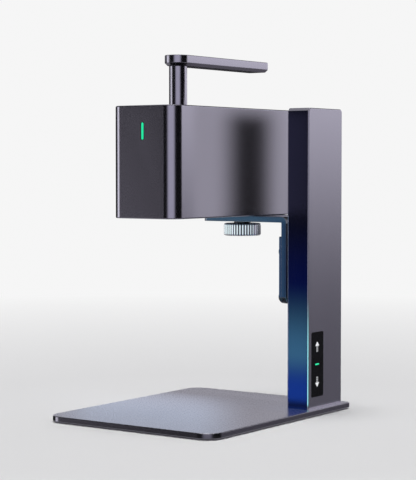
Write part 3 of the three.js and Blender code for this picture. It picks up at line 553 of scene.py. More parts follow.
SLOT_MATERIALS = {
    "anodised_dark": anodised, "anodised_plate": anodised_plate, "bracket_dark": bracket_metal,
    "steel": steel, "black_steel": black_steel, "lens_barrel": lens_barrel, "bronze": bronze,
    "cast_alloy": cast_alloy, "black_plastic": black_plastic, "gloss_panel": gloss_panel,
    "green_light": green_light, "circuit_board": circuit_board, "optical_glass": optical_glass,
    "mirror_coat": mirror_coat, "rubber": rubber,
}

for part in frame["record"]["subparts"]:
    for place in frame["nodes"][part["node"]].material_slots:
        place.material = SLOT_MATERIALS[part["material_slot"]]


# ---- camera

def add_camera():
    data = bpy.data.cameras.new("camera")
    data.lens = 119.57
    data.sensor_width = 36
    camera = bpy.data.objects.new("camera", data)
    camera.location = (0.72096, -1.01502, 0.19404)
    camera.rotation_euler = (math.radians(87.403), 0, math.radians(35.196))
    bpy.context.scene.collection.objects.link(camera)
    bpy.context.scene.camera = camera


add_camera()


# ---- base

COLUMN_SCREWS = ("column_screw_front", "column_screw_rear")
screw_places = [plan_centre(screw) for screw in COLUMN_SCREWS]


def base_plate():
    xs, ys, zs = spans("base_plate")
    rim = bevelled(PLATE_CHAMFER, 0.12 * MM)
    made = slab("base_plate_body", xs, ys, zs, PLATE_CORNERS, anodised_plate, rim, 20)
    tools = []
    for x, y in screw_places:
        tools.append(rod("tool", PLATE_SCREW_BORE, (0, 8 * MM), x, y))
        tools.append(rod("tool", PLATE_SCREW_RECESS[0], (0, PLATE_SCREW_RECESS[1]), x, y))
    cut(made, *tools)
    # The plate's sides get the darker copy of its finish: painted shade.
    made.data.materials.append(plate_sides_shaded)
    for face in made.data.polygons:
        face.material_index = int(abs(face.normal.z) < RIM_NORMAL)
    fit(made, "stand", "anodised_plate", "base_plate")


def base_pad():
    xs, ys, zs = spans("base_pad")
    made = slab("base_pad_sheet", xs, ys, zs, PAD_CORNERS, rubber, quarter(0.2 * MM, 3), 16)
    tools = [rod("tool", PLATE_SCREW_RECESS[0], (-MM, 2 * MM), x, y) for x, y in screw_places]
    fit(cut(made, *tools), "stand", "rubber", "base_pad")


def column_screws():
    for name, (x, y) in zip(COLUMN_SCREWS, screw_places):
        low, high = spans(name)[2]
        end = (high - low) / MM
        profile = in_mm([
            (0, 0), (4.1, 0), (4.4, 0.3), (4.4, 2.1), (2.4, 2.1), (2.4, end - 0.4), (2, end), (0, end),
        ])
        made = turned(name + "_body", profile, (x, y, low), black_steel)
        socket = hexagon(2.8 * MM, (low - MM, low + 1.2 * MM), x, y)
        fit(cut(made, socket), "stand", "black_steel", name)


# ---- column

column_x, column_y, column_z = spans("column_shell")


def column_outline(inset):
    """The column's side view, drawn in by inset everywhere but at its foot."""
    front, rear = column_y[0] + inset, column_y[1] - inset
    top = column_z[1] - inset
    radius = COLUMN_REAR_R - inset * 0.4
    points = [(front, column_z[0]), (rear, column_z[0])]
    for i in range(13):
        angle = math.pi / 2 * i / 12
        points.append((rear - radius + radius * math.cos(angle), top - radius + radius * math.sin(angle)))
    slope = COLUMN_TOP_CHAMFER - inset * 0.4
    points += [(front + slope, top), (front, top - slope)]
    return points


def column_shell():
    edge = quarter(COLUMN_EDGE, 6)
    levels = rims(column_x, edge, edge)
    points = [(x, y, z) for x, inset in levels for y, z in column_outline(inset)]
    made = piece("column_housing", points, loft_faces(len(levels), len(column_outline(0))), anodised)
    cavity = block("tool", grown(column_x, -WALL), grown(column_y, -WALL), (0, column_z[1] - COLUMN_ROOF))
    slot_y = centred(middle(column_y), 2 * SLOT_HALF_W)
    slot = upright("tool", slot_y, SLOT_Z, (column_x[0] - MM, column_x[0] + WALL + MM), [2 * MM] * 4)
    bezel = spans("panel_bezel")
    rim = 0.1 * MM - PANEL_RIM
    through_right = (column_x[1] - WALL - MM, column_x[1] + MM)
    panel_hole = upright("tool", grown(bezel[1], rim), grown(bezel[2], rim), through_right,
                         [PANEL_CORNER] * 4)
    socket_hole = socket_tool("column_usb_socket", (column_y[1] - 2 * WALL, column_y[1] + MM))
    face = block("tool", *front_face(column_y[0] - MM))
    fit(cut(made, cavity, slot, panel_hole, socket_hole, face), "stand", "anodised_dark", "column_shell")


def front_face(front):
    """The X, Y and Z ranges of the dark sheet let into the column's front, which carries painted shade with
    a painted blue cast.
    """
    return (
        grown(column_x, -COLUMN_EDGE), (front, column_y[0] + COLUMN_FACE_T),
        (column_z[0] - MM, column_z[1] - COLUMN_TOP_CHAMFER),
    )


def column_front():
    # A dark sheet over the column's front: painted shade with a painted blue cast.
    xs, ys, zs = front_face(column_y[0])
    made = slab("column_front_sheet", grown(xs, -HAIR), (-zs[1] + HAIR, -column_z[0]), ys,
                [0.2 * MM] * 4, column_front_shade, quarter(0.08 * MM, 2), 4)
    fit(face_front(made), "stand", "anodised_dark")


# ---- control panel

def control_panel():
    xs, ys, zs = spans("panel_bezel")
    face_y, face_z = grown(ys, -PANEL_RIM), grown(zs, -PANEL_RIM)
    made = upright("panel_face", face_y, face_z, (xs[1] - 2.7 * MM, xs[1]), [PANEL_CORNER] * 4,
                   gloss_panel, quarter(0.18 * MM, 4))
    join(made, upright("tool", ys, zs, (xs[0], xs[0] + 0.8 * MM), [MM] * 4))
    through = grown(xs, 2 * MM)
    tools = []
    for key in ("up_key", "down_key"):
        _, key_y, key_z = spans(key)
        over = KEY_RIM - KEY_GAP
        tools.append(upright("tool", grown(key_y, -over), grown(key_z, -over), through, [1.2 * MM] * 4))
    bar = spans("panel_light_bar")
    gap = 0.1 * MM
    radius = (bar[2][1] - bar[2][0]) / 2 + gap
    tools.append(upright("tool", grown(bar[1], gap), grown(bar[2], gap), (xs[0] - MM, xs[1] - LIGHT_NOSE),
                         [radius * ROUND_END] * 4))
    nose_y, nose_z = [grown(centred(middle(bar[i + 1]), PANEL_LIGHT[i]), gap / 2) for i in range(2)]
    tools.append(upright("tool", nose_y, nose_z, through, [PANEL_LIGHT[1] / 2] * 4))
    fit(cut(made, *tools), "stand", "gloss_panel", "panel_bezel")


def control_key(name):
    xs, ys, zs = spans(name)
    cap = upright(name + "_cap", grown(ys, -KEY_RIM), grown(zs, -KEY_RIM), (xs[0] + 0.5 * MM, xs[1]),
                  [MM] * 4, gloss_panel, quarter(0.08 * MM, 3))
    flange = upright("tool", ys, zs, (xs[0], xs[0] + 0.9 * MM), [MM] * 4)
    fit(join(cap, flange), name, "gloss_panel", name)


def panel_light():
    """A capsule-shaped light guide with a slimmer nose that fills the window in the panel's face."""
    xs, ys, zs = spans("panel_light_bar")
    radius = (zs[1] - zs[0]) / 2 * ROUND_END
    edge = quarter(0.1 * MM, 3)
    made = upright("panel_light_guide", ys, zs, (xs[0], xs[1] - LIGHT_NOSE - 0.05 * MM), [radius] * 4,
                   green_light, edge, 10)
    nose_y, nose_z = centred(middle(ys), PANEL_LIGHT[0]), centred(middle(zs), PANEL_LIGHT[1])
    nose = upright("tool", nose_y, nose_z, (xs[0] + MM, xs[1]), [PANEL_LIGHT[1] / 2 * ROUND_END] * 4,
                   green_light, edge, 10)
    fit(join(made, nose), "stand", "green_light", "panel_light_bar")


def rounded_corners(corners, radius, steps=5):
    """A convex outline with each corner replaced by a small curve."""
    points = []
    for i, corner in enumerate(corners):
        here = Vector(corner)
        before = here + (Vector(corners[i - 1]) - here).normalized() * radius
        after = here + (Vector(corners[(i + 1) % len(corners)]) - here).normalized() * radius
        for k in range(steps + 1):
            t = k / steps
            points.append(before * (1 - t) ** 2 + here * 2 * t * (1 - t) + after * t ** 2)
    return points


def ink(name, outline, x, material, body):
    """A flat sign printed on a key, as a thin solid; the outline is in Y and Z."""
    points = [(x, p[0], p[1]) for p in outline] + [(x + INK, p[0], p[1]) for p in outline]
    made = piece(name, points, loft_faces(2, len(outline)), material)
    smoothed(made)
    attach(made, body)


def arrow(key, way):
    """A plain arrow on a key: a fat rounded head and a shaft of three dashes."""
    xs, ys, zs = spans(key)
    y, x = middle(ys), xs[1] - INK / 2
    tip = middle(zs) + way * (ARROW_HEAD[1] + ARROW_PITCH) * 0.78
    base = tip - way * ARROW_HEAD[1]
    half = ARROW_HEAD[0] / 2
    head = [(y - half, base), (y + half, base), (y, tip)]
    ink(key + "_arrow_head", rounded_corners(head[::way], 0.8 * MM), x, white_ink_painted_glow, key)
    for i in range(3):
        low = base - way * (0.25 * MM + i * ARROW_PITCH)
        high = low - way * ARROW_DASH
        side = ARROW_SHAFT_W / 2
        dash = [(y - side, high), (y + side, high), (y + side, low), (y - side, low)]
        ink(f"{key}_arrow_dash_{i + 1}", rounded_corners(dash[::way], 0.3 * MM), x, grey_ink_painted_glow, key)


# ---- lift drive, seen through the column's slot

def helix_rod(name, radius, depth, pitch, starts, zs, place, segments=24):
    """A round steel bar with a rounded thread of the given depth."""
    x, y = place
    count = int((zs[1] - zs[0]) / pitch * 8)
    points = []
    for i in range(count + 1):
        z = zs[0] + (zs[1] - zs[0]) * i / count
        for k in range(segments):
            angle = 2 * math.pi * k / segments
            phase = 2 * math.pi * z / pitch - starts * angle
            r = radius - depth * (0.5 - 0.5 * math.cos(phase))
            points.append((x + r * math.cos(angle), y + r * math.sin(angle), z))
    return piece(name, points, loft_faces(count + 1, segments), steel)


def lead_screw():
    zs = spans("lead_screw")[2]
    place = plan_centre("lead_screw")
    threaded = (zs[0] + 5 * MM, spans("upper_rod_block")[2][0] + 2 * MM)
    made = helix_rod("lead_screw_thread", 2.5 * MM, 0.5 * MM, LEAD_PITCH, LEAD_STARTS, threaded, place)
    fit(made, "lead_screw", "steel", "lead_screw")
    journal = rod("lead_screw_journal", 1.98 * MM, zs, *place, steel, 32, 0.3 * MM)
    fit(journal, "lead_screw", "steel")


def guide_rods():
    for name in ("guide_rod_front", "guide_rod_rear"):
        made = rod(name + "_bar", 2.5 * MM, spans(name)[2], *plan_centre(name), steel, 48, 0.4 * MM)
        fit(made, "stand", "steel", name)


# ---- support bracket

bracket_x, bracket_y, bracket_z = spans("support_bracket")


def plate_end(radius):
    """Steps from an end of the bracket inwards: the distance, and what the rim takes off the thickness and
    the rounded corners off the width. Both end faces lose the tip's radius, at the foot too."""
    rows = quarter(BRACKET_EDGE, 4)
    rows += [(0.0, BRACKET_EDGE + (radius - BRACKET_EDGE) * i / 10) for i in range(1, 11)]
    steps = []
    for thinner, s in rows:
        narrower = radius - math.sqrt(radius * radius - (radius - s) ** 2) if s else BRACKET_TIP
        steps.append((s, thinner, narrower))
    return steps


def on_bend(x, z, radius, angle):
    return (x - radius + radius * math.sin(angle), z - radius + radius * math.cos(angle))


def bracket_path():
    """Places from the shelf's tip round the bend to the foot: inner and outer points in X and Z, and what is
    off the thickness and the width there."""
    top, right = bracket_z[1], bracket_x[1]
    under, inside = top - BRACKET_T, right - BRACKET_T
    places = []
    for s, thinner, narrower in plate_end(BRACKET_TIP):
        x = bracket_x[0] + s
        places.append(((x, under), (x, top), thinner, narrower))
    for i in range(17):
        angle = math.pi / 2 * i / 16
        inner = on_bend(inside, under, BRACKET_INNER_BEND, angle)
        places.append((inner, on_bend(right, top, BRACKET_BEND, angle), 0.0, 0.0))
    for s, thinner, narrower in reversed(plate_end(BRACKET_FOOT)):
        z = bracket_z[0] + s
        places.append(((inside, z), (right, z), thinner, narrower))
    return places


def bracket_section(inner, outer, thinner, narrower):
    """A rounded rectangle across the plate, as points in X, Y and Z."""
    across = Vector((outer[0] - inner[0], 0, outer[1] - inner[1]))
    thick = across.length
    across.normalize()
    origin = Vector((inner[0], 0, inner[1]))
    ys = grown(bracket_y, -narrower)
    edge = max(BRACKET_EDGE - thinner, HAIR)
    outline = ring((thinner, thick - thinner), ys, [edge] * 4, 4)
    return [origin + across * a + Vector((0, y, 0)) for a, y in outline]


def side_hole(screw, face, profile, segments=32):
    """A tool for a screw's hole along X. The profile is in mm, its heights to the left of the face."""
    _, ys, zs = spans(screw)
    return turned("tool", in_mm(profile), (face, middle(ys), middle(zs)), None, segments, "-x")


def support_bracket():
    places = bracket_path()
    points = [point for place in places for point in bracket_section(*place)]
    made = piece("bracket_body", points, loft_faces(len(places), 20), bracket_metal)
    tools = [bore_tool("thumb_knob", bracket_z)]
    stepped = [(0, -1), (2.2, -1), (2.2, 2.75), (3.9, 2.75), (3.9, 8), (0, 8)]
    plain = [(0, -1), (1.9, -1), (1.9, 8), (0, 8)]
    tools += [side_hole("tongue_screw_" + level, bracket_x[1], stepped, 48) for level in ("lower", "upper")]
    tools += [side_hole(name, bracket_x[1], plain) for name in COVER_SCREWS]
    fit(cut(made, *tools), "lift", "bracket_dark", "support_bracket")


COVER_SCREWS = [f"cover_screw_{side}_{level}" for side in ("front", "rear") for level in ("lower", "upper")]


def bracket_cover():
    xs, ys, zs = spans("bracket_cover")
    corners = (BRACKET_FOOT, BRACKET_FOOT, MM, MM)
    made = upright("bracket_cover_plate", ys, zs, xs, corners, bracket_metal, quarter(0.3 * MM, 3), 12)
    tools = [side_hole(name, xs[1], [(0, -2), (2.1, -2), (2.1, 4), (0, 4)]) for name in COVER_SCREWS]
    fit(cut(made, *tools), "lift", "bracket_dark", "bracket_cover")


def cover_screws():
    seat = spans("bracket_cover")[0][0]
    for name in COVER_SCREWS:
        xs, ys, zs = spans(name)
        height, back = (seat - xs[0]) / MM - 0.05, (seat - xs[1]) / MM
        dome = [(0, back), (1.6, back), (1.8, back + 0.3), (1.8, 0.05), (4.2, 0.05), (4.4, 0.3)]
        for i in range(9):
            angle = math.pi / 2 * i / 8
            dome.append((2.4 + 2 * math.cos(angle), 0.5 + (height - 0.45) * math.sin(angle)))
        dome.append((0, height + 0.05))
        made = turned(name + "_body", in_mm(dome), (seat, middle(ys), middle(zs)), black_steel, 40, "-x")
        low, high = height - 1.3, height + 1
        drive = side_hole(name, seat, [(0, low), (1.4, low), (1.4, high), (0, high)], 6)
        fit(cut(made, drive), "lift", "black_steel", name)


# ---- laser head

head_x, head_y, head_z = spans("head_shell")
HEAD_MIDDLE = middle(head_x)


def capsule_along_z(name, xs, ys, zs, material=None, edges=None):
    """A bar with round ends above and below, seen from the front."""
    radius = (xs[1] - xs[0]) / 2 * ROUND_END
    return face_front(slab(name, xs, (-zs[1], -zs[0]), ys, [radius] * 4, material, edges))


def head_corners(inset):
    rear = HEAD_REAR_CORNER - inset
    return (HEAD_LEFT_CORNER - inset, HEAD_RIGHT_CORNER - inset, rear, rear)


def head_shell():
    made = slab("head_casing", head_x, head_y, head_z, head_corners(0), anodised, quarter(HEAD_EDGE, 4), 24)
    inner = (grown(head_x, -WALL), grown(head_y, -WALL), grown(head_z, 2 * MM))
    tools = [slab("tool", *inner, head_corners(WALL), steps=24)]
    light = spans("head_light_bar")
    gap = 0.1 * MM
    through_front = (head_y[0] - MM, head_y[0] + WALL + MM)
    tools.append(capsule_along_z("tool", grown(light[0], gap), through_front, grown(light[2], gap)))
    through_rear = (head_y[1] - WALL - MM, head_y[1] + MM)
    tools.append(socket_tool("head_usb_socket", through_rear))
    fan = spans("fan_frame")
    vent_z = centred(middle(fan[2]), VENT_SIZE[1])
    for i in range(VENT_COUNT):
        x = middle(fan[0]) + (i - (VENT_COUNT - 1) / 2) * VENT_PITCH
        tools.append(capsule_along_z("tool", centred(x, VENT_SIZE[0]), through_rear, vent_z))
    fit(cut(made, *tools), "lift", "anodised_dark", "head_shell")


def head_covers():
    corners = head_corners(WALL + 0.15 * MM)
    edge = quarter(0.3 * MM, 3)
    xs, ys, zs = spans("head_top_cover")
    top = slab("head_top_cover_plate", xs, ys, zs, corners, anodised, edge, 16)
    tools = [bore_tool("handle_bush", zs, 64)]
    ends = TOP_SLOT_SIZE[1] / 2 * 0.98
    for i in range(TOP_SLOT_COUNT):
        y = head_y[0] + TOP_SLOT_START + i * TOP_SLOT_PITCH
        tools.append(slab("tool", centred(HEAD_MIDDLE, TOP_SLOT_SIZE[0]), centred(y, TOP_SLOT_SIZE[1]),
                          grown(zs, MM), [ends] * 4))
    fit(cut(top, *tools), "lift", "anodised_dark", "head_top_cover")
    xs, ys, zs = spans("head_bottom_cover")
    bottom = slab("head_bottom_cover_plate", xs, ys, zs, corners, anodised, edge, 16)
    tools = [bore_tool("lens_cell", zs, 96), bore_tool("mount_insert", zs)]
    fit(cut(bottom, *tools), "lift", "anodised_dark", "head_bottom_cover")


def head_light():
    """A lit bar inside a thin black surround that fills the casing's window."""
    xs, ys, zs = spans("head_light_bar")
    lit_x = centred(middle(xs), HEAD_LIGHT_W)
    lit_z = grown(zs, xs[0] - lit_x[0])
    surround = capsule_along_z("head_light_surround", xs, (ys[0] + 0.05 * MM, ys[1]), zs, gloss_panel,
                               quarter(0.1 * MM, 3))
    window = capsule_along_z("tool", grown(lit_x, HAIR), grown(ys, MM), grown(lit_z, HAIR))
    fit(cut(surround, window), "lift", "gloss_panel")
    made = capsule_along_z("head_light_guide", lit_x, ys, lit_z, green_light, quarter(0.15 * MM, 4))
    fit(made, "lift", "green_light", "head_light_bar")


def lens_parts():
    place = plan_centre("lens_cell")
    low, high = spans("lens_cell")[2]
    bore, end = 17.2, (high - low) / MM
    profile = [(bore, 0.6), (bore + 0.5, 0), (21.5, 0), (21.9, 0.4), (21.9, 2.7), (25, 2.7), (25, 4.7)]
    profile += [(21.9, 4.7), (21.9, end), (bore, end)]
    for groove in range(14, 6, -1):
        profile += [(bore, groove), (bore + 0.35, groove - 0.25), (bore + 0.35, groove - 0.5)]
    made = turned("lens_barrel_body", in_mm(profile), (*place, low), lens_barrel, 96)
    fit(made, "lift", "lens_barrel", "lens_cell")
    window = rod("lens_window_glass", 17 * MM, spans("lens_window")[2], *place, optical_glass, 96, 0.25 * MM)
    fit(window, "lift", "optical_glass", "lens_window")


def mount_parts():
    low, high = spans("mount_insert")[2]
    bore, end = 3.25, (high - low) / MM
    profile = [(bore + 0.4, 0), (5.7, 0), (6, 0.3), (6, 2.85), (8, 2.85), (8, 4.85), (6, 4.85), (6, end)]
    profile += [(bore, end), (bore, 0.4)]
    made = turned("mount_insert_body", in_mm(profile), (*plan_centre("mount_insert"), low), steel)
    fit(made, "lift", "steel", "mount_insert")
    low, high = spans("handle_bush")[2]
    flange = (spans("head_top_cover")[2][0] - low) / MM - 0.05
    bore, body, end = 7.1, 10.9, (high - low) / MM
    profile = [(bore, 0), (body, 0), (body, flange - 2), (14, flange - 2), (14, flange), (body, flange)]
    profile += [(body, end - 0.3), (body - 0.3, end), (bore + 0.4, end), (bore, end - 0.4)]
    made = turned("handle_bush_body", in_mm(profile), (*plan_centre("handle_bush"), low), black_plastic, 80)
    fit(made, "lift", "black_plastic", "handle_bush")


# ---- handle

POST_PLACE = plan_centre("handle_post")
bar_x, bar_y, bar_z = spans("handle_bar")


def handle_post():
    low, high = spans("handle_post")[2]
    stop, stem, journal, screw = 9, 7, 4, 1.6
    shoulder, end = (bar_z[0] - low) / MM - 0.1, (high - low) / MM
    profile = [
        (0, 0), (stop - 0.3, 0), (stop, 0.3), (stop, 2.2), (stop - 0.3, 2.5), (stem, 2.5),
        (stem, shoulder - 0.3), (stem - 0.3, shoulder), (journal, shoulder), (journal, end),
        (screw, end), (screw, shoulder - 5), (0, shoulder - 5),
    ]
    made = turned("handle_stem", in_mm(profile), (*POST_PLACE, low), anodised, 96)
    fit(made, "handle_post", "anodised_dark", "handle_post")


def handle_bar():
    radii = (BAR_FRONT_R, BAR_FRONT_R, BAR_REAR_R, BAR_REAR_R)
    bevel = bevelled(BAR_BEVEL, 0.25 * MM)
    made = slab("handle_grip", bar_x, bar_y, bar_z, radii, anodised, quarter(BAR_EDGE, 4), 16, bevel)
    bore = rod("tool", BAR_BORE, (bar_z[0] - MM, bar_z[1] - 2 * MM), *POST_PLACE)
    recess = rod("tool", BAR_RECESS, (bar_z[0] + BAR_SEAT, bar_z[1] + MM), *POST_PLACE)
    fit(cut(made, bore, recess), "handle_bar", "anodised_dark", "handle_bar")


def pivot_screw():
    low, high = spans("handle_pivot_screw")[2]
    seat, end = (bar_z[0] + BAR_SEAT - low) / MM + 0.1, (high - low) / MM
    profile = [(0, 0), (1.5, 0), (1.5, seat), (4.4, seat), (4.6, seat + 0.2), (4.6, end - 0.4)]
    profile += [(4.2, end), (0, end)]
    made = turned("handle_pivot_screw_body", in_mm(profile), (*POST_PLACE, low), black_steel, 48)
    socket = hexagon(3 * MM, (high - 1.4 * MM, high + MM), *POST_PLACE)
    fit(cut(made, socket), "handle_post", "black_steel", "handle_pivot_screw")


# ---- thumb screw

def thumb_screw():
    xs, _, zs = spans("thumb_knob")
    x, y = plan_centre("thumb_knob")
    collar = spans("thumb_collar")
    low, high = zs[0], collar[2][0] - 0.05 * MM
    full = (xs[1] - xs[0]) / 2
    segments = KNOB_FLUTES * 8
    rim = quarter(KNOB_EDGE, 6)
    hub = full * 0.55
    levels = [(low, hub)] + [(z, full - inset) for z, inset in rims((low, high), rim, rim)] + [(high, hub)]
    points = []
    for z, radius in levels:
        share = max(0.0, (radius - full + KNOB_EDGE) / KNOB_EDGE)
        for i in range(segments):
            angle = 2 * math.pi * i / segments
            valley = (0.5 - 0.5 * math.cos(KNOB_FLUTES * angle)) ** 2
            r = radius - FLUTE_DEPTH * share * valley
            points.append((x + r * math.cos(angle), y + r * math.sin(angle), z))
    made = piece("thumb_knob_wheel", points, loft_faces(len(levels), segments), knurled)
    fit(made, "thumb_knob", "steel", "thumb_knob")
    threaded = (high - 0.5 * MM, zs[1])
    stud = helix_rod("thumb_knob_stud", 3.15 * MM, 0.45 * MM, THREAD_PITCH, 1, threaded, (x, y), 32)
    fit(stud, "thumb_knob", "steel")
    bore, radius, edge = 3.35 * MM, (collar[0][1] - collar[0][0]) / 2, 0.25 * MM
    bottom, top = collar[2]
    profile = [(bore, bottom), (radius - edge, bottom), (radius, bottom + edge), (radius, top - edge)]
    profile += [(radius - edge, top), (bore, top)]
    made = turned("thumb_collar_ring", profile, (x, y, 0), black_steel)
    fit(made, "thumb_collar", "black_steel", "thumb_collar")


# ---- assembly

base_plate()
base_pad()
column_screws()
column_shell()
column_front()
control_panel()
for key_name, direction in (("up_key", 1), ("down_key", -1)):
    control_key(key_name)
    arrow(key_name, direction)
panel_light()
lead_screw()
guide_rods()
support_bracket()
bracket_cover()
cover_screws()
head_shell()
head_covers()
head_light()
lens_parts()
mount_parts()
handle_post()
handle_bar()
pivot_screw()
thumb_screw()


# ---- studio

FLOOR_RADIUS = 1.6
FLOOR_Z = -HAIR
FLOOR_FADE = (0.25, 1.2)
FLOOR_COLOR = (0.66, 0.66, 0.66)
BACKDROP = (0.92, 0.92, 0.92)

# Each soft box has an azimuth in degrees from the front (-Y) towards the right (+X), a half width and the
# softness of its sides, the heights in degrees between which it fades in and fades out, and its brightness.
SOFTBOXES = (
    (33, 26, 12, (-15, -3), (20, 40), (0.97, 0.95, 1.12)),
    (160, 29, 3, (-5, 4.5), (16, 32), (1.26, 1.235, 1.33)),
    (160, 27, 5, (-40, -20), (16, 32), (0.18, 0.175, 0.2)),
    (-62, 12, 4, (-30, -10), (12, 24), (1.8, 1.8, 1.87)),
    (-112, 24, 10, (1, 4), (12, 24), (0.14, 0.14, 0.15)),
    (-155, 44, 10, (2, 7), (12, 24), (0.64, 0.63, 0.7)),
    (-52.3, 16, 1.5, (-14, -4), (-5, 10), (0.295, 0.28, 0.314)),
)
DIM = (0.006, 0.006, 0.007)
OVERHEAD = (19.5, 19.5, 19.5)
OVERHEAD_HEIGHTS = (0.96, 0.99)
GROUND = (0.36, 0.355, 0.375)
GROUND_HEIGHTS = (-0.36, -0.2)

# A dark sheet above the object that hides the overhead light from reflections: its half width and height.
CEILING = (0.3, 0.56)
CEILING_LIGHT = (0.5, 0.5, 0.52)

# Flat cards that only reflections see. Each has two ends in X and Y, a Z range, the softness of its ends
# and of its lower and upper rims, all in mm, and its radiance. It shines to the right of the way from its
# first end to its second.
CARDS = (
    ("glow_foot", ((65, 24), (39, 24)), (4, 48), (2, 8, 30), (0.13, 0.58, 2.5)),
    ("glow_middle", ((65, 23.6), (39, 23.6)), (6, 105), (2, 40, 60), (0.6, 1.88, 2.2)),
    ("glow_high", ((65, 23.2), (39, 23.2)), (60, 165), (2, 40, 70), (0.025, 0.06, 0.45)),
    ("glow_edge", ((80, 41), (72, 33)), (6, 96), (0.5, 3, 44), (1.0, 2.6, 2.5)),
    ("glow_leg", ((34, 20), (8, 20)), (76, 152), (1.5, 10, 2), (0.12, 0.27, 0.5)),
    ("glow_shelf", ((38, 20), (-60, 20)), (149.4, 155), (4, 0.6, 0.6), (0.24, 0.5, 0.72)),
    ("glow_knob", ((26, 30), (-64, 30)), (132, 149.2), (6, 2, 0.6), (0.84, 0.98, 1.02)),
    ("glow_plate", ((-220, 60), (10, 60)), (0, 80), (66, 34, 46), (0.86, 0.96, 1.15)),
)

# What the head's side sees past the column: a light wall in the Y-Z plane, in mm. Its one dark band has a
# start and an end in Y with their softness, and fades out upwards over BAND_Z.
WALL_X = 52.3
WALL_Y = (7, 146)
WALL_Z = (150, 250)
BAND_Y = (34, 137, 44, 40)
BAND_Z = (228, 250)
WALL_LIGHT = (0.88, 0.86, 0.925)
WALL_DARK = times(WALL_LIGHT, 0.004)

# What the handle bar's bevel sees below it: dark round the post and lighter to the rear, in mm.
TOP_X = (-41, 19)
TOP_Y = (-40, 200)
TOP_FADE = (8, 34)
TOP_LIFT = 0.6
TOP_LIGHT = (0.2, 0.19, 0.215)


def surface(tree, factor, first, second, output="Material Output"):
    """Makes a blend of two shaders the surface of the material or the world."""
    mix = node(tree, "MixShader", {0: factor, 1: first.outputs[0], 2: second.outputs[0]})
    wire(tree, tree.nodes[output], {"Surface": mix.outputs[0]})


def floor():
    steps = 96
    points = [(0, 0, FLOOR_Z)]
    for i in range(steps):
        angle = 2 * math.pi * i / steps
        points.append((FLOOR_RADIUS * math.cos(angle), FLOOR_RADIUS * math.sin(angle), FLOOR_Z))
    faces = [(0, i + 1, (i + 1) % steps + 1) for i in range(steps)]
    material, tree, shader = sheet_of("floor", FLOOR_COLOR, 0.9)
    where = node(tree, "TexCoord").outputs["Object"]
    length = node(tree, "VectorMath", {0: where}, operation="LENGTH").outputs["Value"]
    fade = spread(tree, length, 0, 1, FLOOR_FADE)
    surface(tree, fade, shader, node(tree, "Emission", {"Color": BACKDROP}))
    made = piece("floor", points, faces, material)
    made.visible_glossy = False


def added(tree, first, second):
    return node(tree, "VectorMath", {0: first, 1: second}, operation="ADD").outputs[0]


def product(tree, first, *others):
    for other in others:
        first = node(tree, "Math", {0: first, 1: other}, operation="MULTIPLY").outputs[0]
    return first


def lit_by(tree, share, color):
    return node(tree, "VectorMath", {0: color, "Scale": share}, operation="SCALE").outputs[0]


def eased(tree, source, edges):
    """0 at the first edge and 1 at the second, with a smooth step between."""
    inputs = {"Value": source, "From Min": edges[0], "From Max": edges[1]}
    return node(tree, "MapRange", inputs, interpolation_type="SMOOTHSTEP").outputs["Result"]


def sines(degrees):
    return [math.sin(math.radians(value)) for value in degrees]


def studio():
    """Soft boxes round a dim room with a wide overhead light; the camera itself sees a plain pale wall."""
    world = bpy.data.worlds.new("studio")
    world.use_nodes = True
    bpy.context.scene.world = world
    tree = world.node_tree
    way = node(tree, "TexCoord").outputs["Generated"]
    flat = node(tree, "VectorMath", {0: way, 1: (1, 1, 0)}, operation="MULTIPLY").outputs[0]
    level = node(tree, "VectorMath", {0: flat}, operation="NORMALIZE").outputs[0]
    height = node(tree, "SeparateXYZ", {0: way}).outputs["Z"]
    overhead = spread(tree, height, 0, 1, OVERHEAD_HEIGHTS)
    ground = eased(tree, height, (GROUND_HEIGHTS[1], GROUND_HEIGHTS[0]))
    total = added(tree, lit_by(tree, overhead, OVERHEAD), lit_by(tree, ground, GROUND))
    for azimuth, half, soft, rise, fall, color in SOFTBOXES:
        angle = math.radians(azimuth)
        centre = (math.sin(angle), -math.cos(angle), 0)
        facing = node(tree, "VectorMath", {0: level, 1: centre}, operation="DOT_PRODUCT").outputs["Value"]
        edges = sines((90 - half - soft, 90 - half + soft))
        above = eased(tree, height, sines(rise))
        below = eased(tree, height, sines(reversed(fall)))
        share = product(tree, eased(tree, facing, edges), above, below)
        total = added(tree, total, lit_by(tree, share, color))
    soft_light = tree.nodes["Background"]
    wire(tree, soft_light, {"Color": added(tree, total, DIM)})
    wall = node(tree, "Background", {"Color": BACKDROP})
    surface(tree, node(tree, "LightPath").outputs["Is Camera Ray"], soft_light, wall, "World Output")


def card_material(name):
    """A material that shines on its front and is clear from behind. Its shine still needs a colour, and
    the second input of its share may take the part of the card that shines."""
    material = bpy.data.materials.new(name)
    material.use_nodes = True
    tree = material.node_tree
    shine = node(tree, "Emission")
    behind = node(tree, "NewGeometry").outputs["Backfacing"]
    front = node(tree, "Math", {0: 1, 1: behind}, operation="SUBTRACT").outputs[0]
    share = node(tree, "Math", {0: front, 1: 1}, operation="MULTIPLY")
    surface(tree, share.outputs[0], node(tree, "BsdfTransparent"), shine)
    place = node(tree, "SeparateXYZ", {0: node(tree, "TexCoord").outputs["Object"]}).outputs
    return material, tree, shine, share, place


def reflected_only(name, points, face, material):
    """Adds a card that is kept out of the picture and the diffuse light, so that only reflections see it."""
    made = piece(name, points, [face], material)
    made.visible_camera = False
    made.visible_diffuse = False
    made.visible_shadow = False


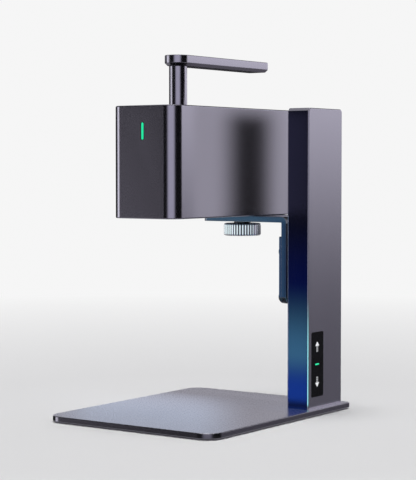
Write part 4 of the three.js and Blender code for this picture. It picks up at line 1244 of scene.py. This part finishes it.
def window_share(tree, source, low, high, low_soft, high_soft):
    """1 between low and high, fading to 0 over the given softness inside each end; all in mm."""
    rise = eased(tree, source, (low * MM, (low + low_soft) * MM))
    fall = eased(tree, source, (high * MM, (high - high_soft) * MM))
    return product(tree, rise, fall)


def card(name, ends, heights, softness, radiance):
    """An upright card with soft edges."""
    end_soft, low_soft, high_soft = softness
    material, tree, shine, share, place = card_material(name)
    left, right = sorted(x for x, _ in ends)
    across = window_share(tree, place["X"], left, right, end_soft, end_soft)
    upward = window_share(tree, place["Z"], *heights, low_soft, high_soft)
    wire(tree, shine, {"Color": radiance})
    wire(tree, share, {1: product(tree, across, upward)})
    points = [(x * MM, y * MM, z * MM) for z in heights for x, y in ends]
    reflected_only(name, points, (0, 1, 3, 2), material)


def side_wall():
    material, tree, shine, _, place = card_material("side_wall")
    fading = eased(tree, place["Z"], (BAND_Z[1] * MM, BAND_Z[0] * MM))
    dark = product(tree, window_share(tree, place["Y"], *BAND_Y), fading)
    wire(tree, shine, {"Color": blended(tree, dark, WALL_LIGHT, WALL_DARK)})
    points = [(WALL_X * MM, y * MM, z * MM) for z in WALL_Z for y in WALL_Y]
    reflected_only("side_wall", points, (0, 2, 3, 1), material)


def top_glow():
    """Lies on the head's top and is seen in the underside of the handle bar."""
    material, tree, shine, _, place = card_material("top_glow")
    rear = eased(tree, place["Y"], [y * MM for y in TOP_FADE])
    wire(tree, shine, {"Color": blended(tree, rear, DIM, TOP_LIGHT)})
    points = [(x * MM, y * MM, head_z[1] + TOP_LIFT * MM) for y in TOP_Y for x in TOP_X]
    reflected_only("top_glow", points, (0, 1, 3, 2), material)


def dark_ceiling():
    material, tree, shine, _, _ = card_material("dark_ceiling")
    wire(tree, shine, {"Color": CEILING_LIGHT})
    half, z = CEILING
    points = [(x, y, z) for y in (-half, half) for x in (-half, half)]
    reflected_only("dark_ceiling", points, (0, 2, 3, 1), material)


floor()
studio()
for values in CARDS:
    card(*values)
side_wall()
top_glow()
dark_ceiling()
bpy.context.scene.view_settings.view_transform = "Standard"
